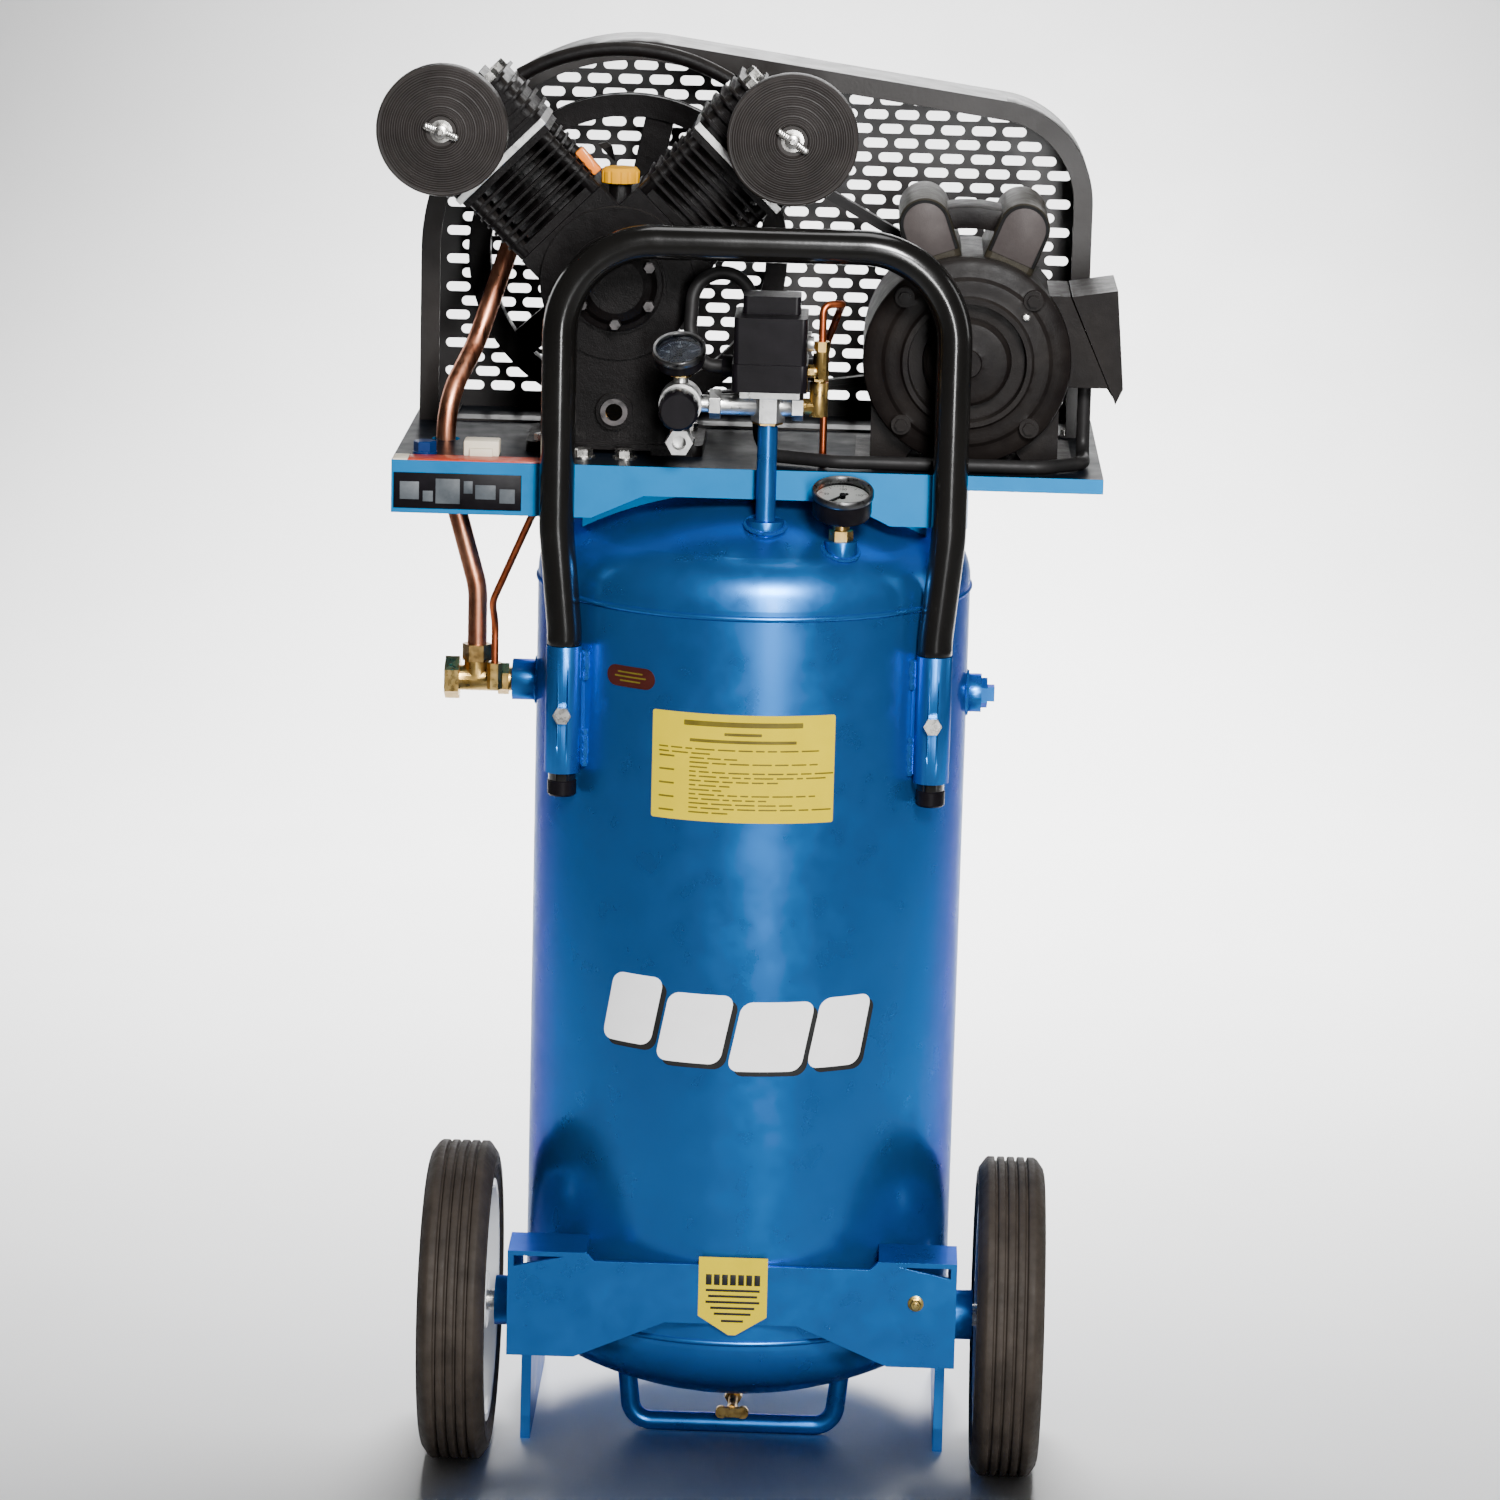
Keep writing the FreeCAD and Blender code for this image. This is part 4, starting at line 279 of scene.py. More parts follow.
# ---------------------------------------------------------------- shader helpers
class Graph:
    """Short names for building one procedural material."""

    def __init__(self, name):
        self.material = bpy.data.materials.new(name)
        self.material.use_nodes = True
        self.nodes = self.material.node_tree.nodes
        self.links = self.material.node_tree.links
        self.shader = self.nodes["Principled BSDF"]
        self.place = self.nodes.new("ShaderNodeTexCoord").outputs["Object"]

    def put(self, **values):
        for socket, value in values.items():
            self.shader.inputs[socket.replace("_", " ")].default_value = value
        return self

    def noise(self, scale, detail, roughness=0.55, stretch=None):
        node = self.nodes.new("ShaderNodeTexNoise")
        node.inputs["Scale"].default_value = scale
        node.inputs["Detail"].default_value = detail
        node.inputs["Roughness"].default_value = roughness
        self.links.new(self.stretched(stretch) if stretch else self.place, node.inputs["Vector"])
        return node.outputs["Fac"]

    def stretched(self, scale):
        node = self.nodes.new("ShaderNodeMapping")
        node.inputs["Scale"].default_value = scale
        self.links.new(self.place, node.inputs["Vector"])
        return node.outputs["Vector"]

    def ramp(self, source, stops):
        node = self.nodes.new("ShaderNodeValToRGB")
        ramp = node.color_ramp
        while len(ramp.elements) < len(stops):
            ramp.elements.new(0.5)
        for element, (position, colour) in zip(ramp.elements, stops):
            element.position = position
            element.color = (*colour, 1)
        self.links.new(source, node.inputs["Fac"])
        return node.outputs["Color"]

    def grey(self, source, low, high, start=0.3, end=0.7):
        return self.ramp(source, [(start, (low,) * 3), (end, (high,) * 3)])

    def mix(self, factor, source, colour):
        """Blends a colour source towards one plain colour; 0, 6 and 7 are the RGBA sockets."""
        node = self.nodes.new("ShaderNodeMix")
        node.data_type = "RGBA"
        self.links.new(factor, node.inputs[0])
        self.links.new(source, node.inputs[6])
        node.inputs[7].default_value = (*colour, 1)
        return node.outputs[2]

    def product(self, first, second):
        node = self.nodes.new("ShaderNodeMath")
        node.operation = "MULTIPLY"
        for socket, source in zip(node.inputs, (first, second)):
            self.links.new(source, socket)
        return node.outputs[0]

    def upward(self):
        """How far the surface faces up, from -1 to 1."""
        geometry = self.nodes.new("ShaderNodeNewGeometry")
        split = self.nodes.new("ShaderNodeSeparateXYZ")
        self.links.new(geometry.outputs["Normal"], split.inputs[0])
        return split.outputs["Z"]

    def colour(self, source):
        self.links.new(source, self.shader.inputs["Base Color"])
        return self

    def roughness(self, source):
        self.links.new(source, self.shader.inputs["Roughness"])
        return self

    def bump(self, height, strength, distance):
        node = self.nodes.new("ShaderNodeBump")
        node.inputs["Strength"].default_value = strength
        node.inputs["Distance"].default_value = distance
        self.links.new(height, node.inputs["Height"])
        previous = self.shader.inputs["Normal"].links
        if previous:
            self.links.new(previous[0].from_socket, node.inputs["Normal"])
        self.links.new(node.outputs["Normal"], self.shader.inputs["Normal"])
        return self


def paint(name, dark, light, metallic, rough, coat, peel, edge=(1, 1, 1), gloss=0.35):
    """Sprayed paint: slow tone changes, orange peel and a coat; edge tints its grazing look."""
    g = Graph(name).put(Metallic=metallic, Coat_Weight=coat, Coat_Roughness=0.08)
    g.put(Specular_Tint=(*edge, 1), Specular_IOR_Level=gloss)
    tone = g.ramp(g.noise(7, 3), [(0.3, dark), (0.7, light)])
    g.colour(tone)
    g.roughness(g.grey(g.noise(38, 5), rough * 0.85, rough * 1.2))
    g.bump(g.noise(330, 2), peel, 0.0006)
    return g.material


def casting(name, dark, light, metallic, rough, grain, dust):
    """Sand-cast metal: grainy skin, uneven tone and a little dust on top."""
    g = Graph(name).put(Metallic=metallic, Specular_IOR_Level=0.09)
    tone = g.ramp(g.noise(26, 6, 0.65), [(0.3, dark), (0.72, light)])
    if dust:
        settled = g.grey(g.upward(), 0.0, dust, 0.25, 0.95)
        patchy = g.grey(g.noise(60, 6), 0.3, 1.0)
        tone = g.mix(g.product(settled, patchy), tone, (0.20, 0.18, 0.16))
    g.colour(tone)
    g.roughness(g.grey(g.noise(90, 5), rough * 0.85, min(1.0, rough * 1.2)))
    g.bump(g.noise(900, 4, 0.6), grain, 0.0007)
    g.bump(g.noise(120, 3), grain * 0.6, 0.0012)
    return g.material


def bare_metal(name, dark, light, rough, streak=(1, 1, 1), scratch=0.12):
    """Bare or plated metal: tone changes, fine turning marks and smudges."""
    g = Graph(name).put(Metallic=1.0)
    g.colour(g.ramp(g.noise(55, 5, 0.6), [(0.32, dark), (0.7, light)]))
    g.roughness(g.grey(g.noise(180, 5, 0.6, streak), rough * 0.7, rough * 1.45))
    g.bump(g.noise(700, 3, 0.5, streak), scratch, 0.0003)
    return g.material


def plastic(name, dark, light, rough, grain, coat=0.0, gloss=0.18):
    """Moulded plastic, rubber, vinyl or ink with a fine spark-eroded texture."""
    g = Graph(name).put(Coat_Weight=coat, Specular_IOR_Level=gloss)
    g.colour(g.ramp(g.noise(40, 5, 0.6), [(0.3, dark), (0.72, light)]))
    g.roughness(g.grey(g.noise(140, 5), rough * 0.88, min(1.0, rough * 1.14)))
    g.bump(g.noise(1500, 3), grain, 0.0003)
    return g.material


BLUE = paint("metallic_blue_paint", (0.022, 0.150, 0.47), (0.027, 0.170, 0.52), 0.85, 0.30, 0.10,
             0.015, (0.05, 0.16, 0.34))
DECK_BLUE = paint("platform_blue_paint", (0.002, 0.145, 0.36), (0.003, 0.160, 0.39), 0.60, 0.42,
                  0.04, 0.03, (0.03, 0.14, 0.32))
# Near-black deck top: painted shade and painted reflection of the dark pump and motor; the deck
# itself is blue.
DECK_TOP_SHADE = paint("deck_top_painted_shade", (0.003, 0.004, 0.007), (0.005, 0.007, 0.011), 0.0, 0.34, 0.0,
                  0.05, gloss=0.02)
DARK_BLUE = paint("dark_blue_paint", (0.002, 0.02, 0.10), (0.004, 0.03, 0.14), 0.3, 0.30, 0.2, 0.05)
BLACK_GLOSS = paint("black_gloss_paint", (0.003, 0.0028, 0.0026), (0.006, 0.0055, 0.005), 0.0, 0.20,
                    0.35, 0.06)
GUARD_BLACK = paint("guard_black_paint", (0.006, 0.005, 0.005), (0.012, 0.010, 0.010), 0.0, 0.36,
                    0.1, 0.08)
GUARD_GREY = paint("guard_frame_paint", (0.009, 0.0075, 0.007), (0.016, 0.0135, 0.0125), 0.0, 0.34,
                   0.12, 0.12, gloss=0.25)
MOTOR_BLACK = casting("motor_grey_black", (0.004, 0.003, 0.003), (0.010, 0.008, 0.007), 0.0, 0.40,
                      0.2, 0.06)
PUMP_BLACK = casting("pump_cast_black", (0.0015, 0.0012, 0.0012), (0.005, 0.004, 0.004), 0.0, 0.38,
                     0.45, 0.10)
HEAD_BLACK = casting("head_cast_black", (0.002, 0.0015, 0.0015), (0.006, 0.005, 0.005), 0.0, 0.36,
                     0.4, 0.12)
COVER_OLIVE = casting("capacitor_cover_paint", (0.020, 0.017, 0.012), (0.034, 0.029, 0.020), 0.1,
                      0.36, 0.2, 0.05)
PANEL_GREY = casting("cover_panel_grey", (0.040, 0.033, 0.032), (0.060, 0.051, 0.049), 0.1, 0.40,
                     0.15, 0.0)
STEEL = bare_metal("machined_steel", (0.34, 0.34, 0.35), (0.50, 0.50, 0.51), 0.32)
ZINC = bare_metal("zinc_plate", (0.55, 0.54, 0.51), (0.75, 0.73, 0.69), 0.26)
DARK_ZINC = bare_metal("dark_zinc", (0.05, 0.05, 0.05), (0.11, 0.10, 0.10), 0.34)
DARK_BRASS = bare_metal("dark_brass", (0.22, 0.13, 0.04), (0.46, 0.30, 0.11), 0.32, scratch=0.15)
GOLD_ZINC = bare_metal("yellow_zinc", (0.55, 0.38, 0.10), (0.78, 0.60, 0.22), 0.26)
RIM_GREY = bare_metal("gauge_rim_grey", (0.10, 0.10, 0.10), (0.17, 0.17, 0.17), 0.3, scratch=0.05)
SILVER = bare_metal("silver_casting", (0.42, 0.42, 0.41), (0.64, 0.64, 0.63), 0.36, scratch=0.3)
BRASS = bare_metal("brass_bar", (0.42, 0.25, 0.06), (0.70, 0.48, 0.17), 0.30, scratch=0.15)
COPPER = bare_metal("copper_tube", (0.40, 0.14, 0.075), (0.66, 0.30, 0.18), 0.34, (1, 1, 0.08), 0.1)
RED_COPPER = bare_metal("red_copper_tube", (0.42, 0.085, 0.03), (0.66, 0.17, 0.06), 0.34,
                        (1, 1, 0.08), 0.1)
FILTER_BLACK = plastic("filter_black_plastic", (0.016, 0.0135, 0.0125), (0.028, 0.024, 0.0225),
                       0.46, 0.2)
SWITCH_BLACK = plastic("switch_black_plastic", (0.0025, 0.002, 0.0027), (0.006, 0.005, 0.0065),
                       0.36, 0.25, gloss=0.10)
RUBBER = plastic("black_rubber", (0.005, 0.005, 0.005), (0.012, 0.011, 0.011), 0.5, 0.3)
YELLOW_PLASTIC = plastic("yellow_plastic", (0.62, 0.27, 0.0), (0.74, 0.35, 0.0), 0.5, 0.1,
                         gloss=0.08)
ORANGE_PLASTIC = plastic("orange_plastic", (0.75, 0.17, 0.01), (0.86, 0.24, 0.02), 0.4, 0.1, 0.2)
RIM_WHITE = paint("rim_white_paint", (0.55, 0.56, 0.57), (0.68, 0.69, 0.70), 0.0, 0.32, 0.4, 0.06)
TYRE = plastic("tyre_rubber", (0.017, 0.013, 0.010), (0.036, 0.028, 0.022), 0.66, 0.45)
YELLOW_VINYL = plastic("yellow_vinyl", (0.55, 0.42, 0.0), (0.60, 0.46, 0.0), 0.7, 0.03, gloss=0.02)
WHITE_VINYL = plastic("white_vinyl", (0.90, 0.89, 0.89), (0.95, 0.94, 0.94), 0.45, 0.03)
INK = plastic("black_ink", (0.010, 0.010, 0.010), (0.018, 0.018, 0.018), 0.45, 0.02)
LABEL_INK = plastic("label_ink", (0.085, 0.065, 0.008), (0.14, 0.11, 0.012), 0.45, 0.02)
DARK_RED = plastic("dark_red_vinyl", (0.034, 0.007, 0.005), (0.05, 0.010, 0.008), 0.34, 0.03, 0.1)
RED_ORANGE = plastic("red_orange_tape", (0.40, 0.035, 0.012), (0.50, 0.052, 0.018), 0.4, 0.05, 0.2)
CREAM = plastic("cream_tape", (0.62, 0.55, 0.42), (0.72, 0.65, 0.52), 0.45, 0.05)
PLATE_GREY = plastic("plate_grey", (0.035, 0.042, 0.048), (0.10, 0.11, 0.12), 0.4, 0.05)
DIAL_DARK = plastic("dial_dark", (0.030, 0.030, 0.034), (0.045, 0.045, 0.050), 0.4, 0.02)
DIAL_WHITE = plastic("dial_white", (0.62, 0.62, 0.60), (0.70, 0.70, 0.68), 0.5, 0.02)
# Black for the gaps round the capacitor cover panels: painted shade in a recess.
GAP_SHADE_BLACK = plastic("painted_gap_shade", (0.003, 0.003, 0.003), (0.005, 0.005, 0.005), 0.8, 0.1)


def glass(name, tint, rough=0.03, index=1.47):
    """A clear or tinted lens; a low index makes it catch less light."""
    g = Graph(name).put(Transmission_Weight=1.0, IOR=index)
    g.colour(g.ramp(g.noise(30, 2), [(0.3, tint), (0.7, tuple(min(1, c * 1.04) for c in tint))]))
    g.roughness(g.grey(g.noise(60, 3), rough, rough * 2.2))
    return g.material


GLASS = glass("clear_lens", (0.96, 0.98, 0.98), index=1.25)
DARK_GLASS = glass("smoked_lens", (0.42, 0.47, 0.56), index=1.12)
OIL_GLASS = glass("oil_sight_lens", (0.30, 0.16, 0.04), 0.06)

FINISHES = {
    BLUE: "tank_shell tank_bungs drain_guard axle_bracket support_legs handle_sockets riser_pipe",
    DECK_BLUE: "platform",
    BLACK_GLOSS: "handle",
    PUMP_BLACK: "crankcase bearing_cover cylinders flywheel breather",
    HEAD_BLACK: "cylinder_heads",
    MOTOR_BLACK: "motor_shell motor_endbells motor_base terminal_box motor_bolts",
    COVER_OLIVE: "capacitor_covers",
    GUARD_BLACK: "guard_mesh",
    GUARD_GREY: "guard_frame",
    STEEL: "crankshaft shaft_bearings motor_pulley motor_rotor motor_stator",
    ZINC: "stub_axles hex_bolts safety_ring",
    SILVER: "valve_plates piston_left piston_right manifold regulator_body switch_lever",
    RIM_WHITE: "rim_left rim_right",
    TYRE: "tyre_left tyre_right",
    RUBBER: "belt motor_lead",
    FILTER_BLACK: "air_filters",
    SWITCH_BLACK: "switch_base switch_cover capacitors regulator_knob gauge_cases tank_needle "
                  "outlet_needle",
    YELLOW_PLASTIC: "oil_cap",
    BRASS: "drain_valve drain_knob safety_valve unloader_valve check_valve",
    COPPER: "discharge_tubes",
    RED_COPPER: "unloader_tube",
    OIL_GLASS: "sight_glass",
}
EDGES = {
    "axle_bracket": 0.8, "support_legs": 0.5, "handle_sockets": 0.8, "platform": 0.8, "handle": 0.6,
    "crankcase": 1.6, "bearing_cover": 1.0, "cylinders": 0.6, "flywheel": 0.8,
    "cylinder_heads": 0.8, "motor_endbells": 0.7, "motor_base": 0.5, "terminal_box": 1.4,
    "capacitor_covers": 1.0, "guard_frame": 0.5, "manifold": 0.7, "regulator_body": 0.7,
    "switch_base": 0.7, "switch_cover": 1.0, "switch_lever": 0.4, "hex_bolts": 0.5,
    "motor_bolts": 0.4, "drain_valve": 0.4, "drain_knob": 0.4, "safety_valve": 0.4,
    "unloader_valve": 0.4, "check_valve": 0.7, "regulator_knob": 0.6, "oil_cap": 0.6,
    "tank_bungs": 0.8, "rim_left": 0.6, "rim_right": 0.6, "tyre_left": 0.7, "tyre_right": 0.7,
    "valve_plates": 0.4,
}


def finish_nodes():
    """Gives every CAD node its finish, and softens the edges of those that show them."""
    for material, names in FINISHES.items():
        for name in names.split():
            data = NODES[name].data
            data.materials.clear()
            data.materials.append(material)
    for name, width in EDGES.items():
        node = NODES[name]
        weld = node.modifiers.new("weld", "WELD")
        weld.merge_threshold = 0.00001
        bevel = node.modifiers.new("bevel", "BEVEL")
        bevel.width = width * MM
        bevel.segments = 2
        bevel.limit_method = "ANGLE"
        bevel.angle_limit = math.radians(32)
        bevel.harden_normals = True


def repaint(node, material, chosen):
    """Gives some faces of a CAD node another material; chosen() takes their centre and normal."""
    data = NODES[node].data
    data.materials.append(material)
    index = len(data.materials) - 1
    for face in data.polygons:
        if chosen((face.center - TANK_AXIS) / MM, face.normal):
            face.material_index = index


def repaint_parts():
    """Parts of one node that differ in finish, and the deck's top painted near black: painted shade
    and painted reflection of the dark pump and motor over a blue deck.
    """
    top = spot("platform", up=1).z
    # The deck's top gets the near-black painted shade and painted reflection, not a paint of its
    # own.
    repaint("platform", DECK_TOP_SHADE, lambda p, n: n.z > 0.9 and p.z > top - 1)
    lens = spot("sight_glass")
    repaint("sight_glass", DARK_ZINC, lambda p, n: (p - lens).xz.length > SIGHT_LENS_R)
    repaint("check_valve", DARK_BRASS, lambda p, n: p.z > PORT_Z + VALVE_BODY_UP)
    repaint("discharge_tubes", PUMP_BLACK, lambda p, n: p.z > PUMP_Z + CROSSOVER_UP)


# ---------------------------------------------------------------- labels and decals
def make_front_decal():
    """A generic badge: a row of slanted white blocks, each with a dark edge behind it."""
    for name, shift, lift, paint_used in (("front_decal_shadow", (4.0, -4.0), 0.25, INK),
                                          ("front_decal", (0.0, 0.0), 0.5, WHITE_VINYL)):
        mesh = bmesh.new()
        x, z = DECAL_X + shift[0], DECAL_Z + shift[1]
        for start, width, rise in ((-88, 46, 9), (-33, 54, -1), (30, 60, -6), (88, 46, -4)):
            wrap(mesh, (x + start, z + rise), width, 58, 9, lift, 0.2)
        add_piece(name, mesh, paint_used)


def make_instruction_label():
    """Yellow sheet with a heading bar and grey-brown lines that stand for print."""
    mesh = bmesh.new()
    wrap(mesh, (LABEL_X, LABEL_Z), LABEL_W, LABEL_H, 2.0, SHEET_LIFT)
    add_piece("instruction_label", mesh, YELLOW_VINYL)
    mesh = bmesh.new()
    chance = random.Random(4)
    top = LABEL_Z + LABEL_H / 2
    wrap(mesh, (LABEL_X, top - 8), 96, 4.2, 0.5, LINE_LIFT)
    wrap(mesh, (LABEL_X, top - 16), 30, 2.4, 0.4, LINE_LIFT)
    wrap(mesh, (LABEL_X, top - 22), 86, 2.6, 0.4, LINE_LIFT)
    left = LABEL_X - LABEL_W / 2 + 6
    for line in range(15):
        z = top - 29 - line * 3.7
        if line % 3 == 2:
            wrap(mesh, (left + 7, z), 13, 1.5, 0.3, LINE_LIFT)
        x = left + (0 if line < 2 else 26)
        while x < LABEL_X + LABEL_W / 2 - 16:
            width = chance.uniform(5, 17)
            wrap(mesh, (x + width / 2, z), width, 1.25, 0.3, LINE_LIFT)
            x += width + 2.4
            if chance.random() < 0.10:
                break
    add_piece("instruction_print", mesh, LABEL_INK)


def make_oval_plate():
    """Small dark oval plate with three bars."""
    mesh = bmesh.new()
    wrap(mesh, (OVAL_X, OVAL_Z), 46, 17, 8.4, 0.6)
    add_piece("tank_oval_plate", mesh, DARK_RED)
    mesh = bmesh.new()
    for up, width in ((3.5, 24), (0, 30), (-3.5, 20)):
        wrap(mesh, (OVAL_X, OVAL_Z + up), width, 1.3, 0.4, 0.8)
    add_piece("oval_plate_print", mesh, LABEL_INK)


def shield_half_width(up):
    """Half the width of the shield label at a share of its height; it narrows to its point."""
    if up > SHIELD_SHOULDER:
        return SHIELD_HALF_W
    return SHIELD_HALF_W - (SHIELD_SHOULDER - up) / SHIELD_SHOULDER * SHIELD_TAPER


def make_bracket_label():
    """Yellow shield label with bars on the axle bracket's front."""
    front = (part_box("axle_bracket")[0].y - TANK_AXIS.y) / MM
    low, high = SHIELD_Z - SHIELD_HALF_H, SHIELD_Z + SHIELD_HALF_H
    mesh = bmesh.new()
    rows = [0, 0.12, 0.24, 0.5, 0.8, 0.9, 1.0]
    left, right = [], []
    for up in rows:
        half = shield_half_width(up)
        z = low + (high - low) * up
        left.append(mesh.verts.new(place(SHIELD_X - half, front - SHIELD_OUT, z)))
        right.append(mesh.verts.new(place(SHIELD_X + half, front - SHIELD_OUT, z)))
    for k in range(len(rows) - 1):
        mesh.faces.new((left[k], right[k], right[k + 1], left[k + 1]))
    sheet = bmesh.ops.extrude_face_region(mesh, geom=list(mesh.faces))
    for item in sheet["geom"]:
        if isinstance(item, bmesh.types.BMVert):
            item.co.y += SHIELD_THICK * MM
    add_piece("bracket_label", mesh, YELLOW_VINYL)
    mesh = bmesh.new()
    lines = ((14, 46, 9), (5, 44, 2), (0, 40, 2), (-5, 44, 2), (-10, 36, 2), (-15, 30, 2),
             (-21, 18, 2))
    for up, width, height in lines:
        z = SHIELD_Z + up
        if height > 5:
            for k in range(7):
                x = SHIELD_X - width / 2 + (k + 0.5) * width / 7
                block(mesh, (x - 2.4, front - 0.6, z - height / 2),
                      (x + 2.4, front - 0.1, z + height / 2), 0.1)
            continue
        block(mesh, (SHIELD_X - width / 2, front - 0.6, z - height / 2),
              (SHIELD_X + width / 2, front - 0.1, z + height / 2), 0.1)
    add_piece("bracket_label_print", mesh, INK)


def make_model_plate():
    """Black plate with grey fields on the apron's left end."""
    front = spot("platform", deep=0).y
    mesh = bmesh.new()
    block(mesh, (PLATE_LEFT, front - 0.9, PLATE_LOW), (PLATE_RIGHT, front + 0.1, PLATE_HIGH), 0.4)
    add_piece("model_plate", mesh, SWITCH_BLACK)
    mesh = bmesh.new()
    width = PLATE_RIGHT - PLATE_LEFT
    fields = ((0.05, 0.20, 0.25, 0.75), (0.23, 0.31, 0.20, 0.50), (0.33, 0.52, 0.15, 0.85),
              (0.55, 0.62, 0.45, 0.8), (0.64, 0.80, 0.30, 0.70), (0.83, 0.95, 0.20, 0.60))
    height = PLATE_HIGH - PLATE_LOW
    for x0, x1, z0, z1 in fields:
        block(mesh, (PLATE_LEFT + width * x0, front - 1.2, PLATE_LOW + height * z0),
              (PLATE_LEFT + width * x1, front - 0.7, PLATE_LOW + height * z1), 0.2)
    add_piece("model_plate_fields", mesh, PLATE_GREY)


# ---------------------------------------------------------------- tank and stand
def make_welds():
    """Weld beads at the handle sockets, the tank's ports and the legs."""
    mesh = bmesh.new()
    for side in (-1, 1):
        x = side * (SOCKET_X - 17.5)
        y = -math.sqrt(TANK_R ** 2 - x ** 2) - 0.5
        for low, high in SOCKET_WELDS:
            bead(mesh, [(x, y, low), (x - side * 0.8, y - 0.5, (low + high) / 2), (x, y, high)],
                 3.4)
        outer = side * (SOCKET_X - 1)
        bead(mesh, [(outer, -math.sqrt(TANK_R ** 2 - outer ** 2) - 1, z) for z in (600, 688)], 2.2)
    add_piece("socket_welds", mesh, BLUE)
    mesh = bmesh.new()
    riser = (*RISER_FOOT, dome_height(*RISER_FOOT) + 1.0)
    gauge = (*GAUGE_FOOT, dome_height(*GAUGE_FOOT) + 0.5)
    bead(mesh, ring_of(riser, (0.05, -0.3, 1), RISER_WELD_R), 2.0)
    bead(mesh, ring_of(gauge, (0.2, -0.45, 1), GAUGE_WELD_R), 2.0)
    bead(mesh, ring_of((TANK_R - 0.5, 0, PORT_Z), (1, 0, 0), RIGHT_PORT_WELD_R), 2.2)
    bead(mesh, ring_of((-TANK_R + 0.5, 0, PORT_Z), (1, 0, 0), LEFT_PORT_WELD_R), 2.2)
    bead(mesh, ring_of((0, 0, TANK_LOW.z / MM + 1), (0, 0, 1), DRAIN_WELD_R), 2.0)
    add_piece("bung_welds", mesh, BLUE)
    mesh = bmesh.new()
    for side in (-1, 1):
        for y0, y1 in LEG_WELDS:
            points = []
            for y in (y0, y1):
                x = min(177.0, math.sqrt(TANK_R ** 2 - y * y) + 1.5)
                points.append((side * x, y, LEG_TOP))
            bead(mesh, points, 2.4)
    add_piece("leg_welds", mesh, BLUE)


def dome_height(x, y):
    """Height of the tank's dished top over a point, in millimetres."""
    return CROWN_TOP - CROWN_R + math.sqrt(CROWN_R ** 2 - x * x - y * y)


def make_bracket_screw():
    """The yellow zinc screw with its washer at the bracket's right end."""
    front = (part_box("axle_bracket")[0].y - TANK_AXIS.y) / MM
    mesh = bmesh.new()
    washer = [(0, 0), (6.5, 0), (6.5, 1.2), (5.5, 1.6), (0, 1.6)]
    lathe(mesh, washer, (SCREW_X, front, SCREW_Z), (0, -1, 0), 32)
    hexagon(mesh, (SCREW_X, front - 1.4, SCREW_Z), (0, -1, 0), 8, 4)
    screw_end = [(0, 0), (2.2, 0), (2.2, 1.5), (1.6, 2.0), (0, 2.0)]
    lathe(mesh, screw_end, (SCREW_X, front - 5.2, SCREW_Z), (0, -1, 0), 24)
    add_piece("bracket_screw", mesh, GOLD_ZINC)


def make_end_caps():
    """Plastic plugs on the handle's lower ends."""
    low = spot("handle", up=0).z
    mesh = bmesh.new()
    for side in (-1, 1):
        lathe(mesh, [(0, 0), (10.5, 0), (11.8, 1.5), (11.8, 12), (11.1, 12.6), (11.1, 13)],
              (side * SOCKET_X, HANDLE_Y, low - 0.6), (0, 0, 1), 40)
    add_piece("handle_end_caps", mesh, SWITCH_BLACK)


def make_wheel_details():
    """Raised rings on the tyres' sides, and the rims' bolts."""
    for side, word in ((-1, "left"), (1, "right")):
        body = "wheel_" + word
        centre = spot("rim_" + word)
        centre.x = side * WHEEL_X
        mesh = bmesh.new()
        for radius, out in TYRE_RINGS:
            profile = [(radius - 1.2, out - 0.8), (radius - 0.7, out), (radius + 0.7, out),
                       (radius + 1.2, out - 0.8)]
            lathe(mesh, profile, centre, (side, 0, 0), 96)
            lathe(mesh, profile, centre, (-side, 0, 0), 96)
        add_piece("tyre_side_rings_" + word, mesh, TYRE, body)
        mesh = bmesh.new()
        for k in range(5):
            a = math.radians(36 + 72 * k)
            bolt_at = centre + Vector((0, RIM_BOLT_R * math.sin(a), RIM_BOLT_R * math.cos(a)))
            hexagon(mesh, bolt_at + Vector((side * RIM_BOLT_OUT, 0, 0)), (side, 0, 0), 8, 3.2, 0.5)
        add_piece("rim_bolts_" + word, mesh, ZINC, body)


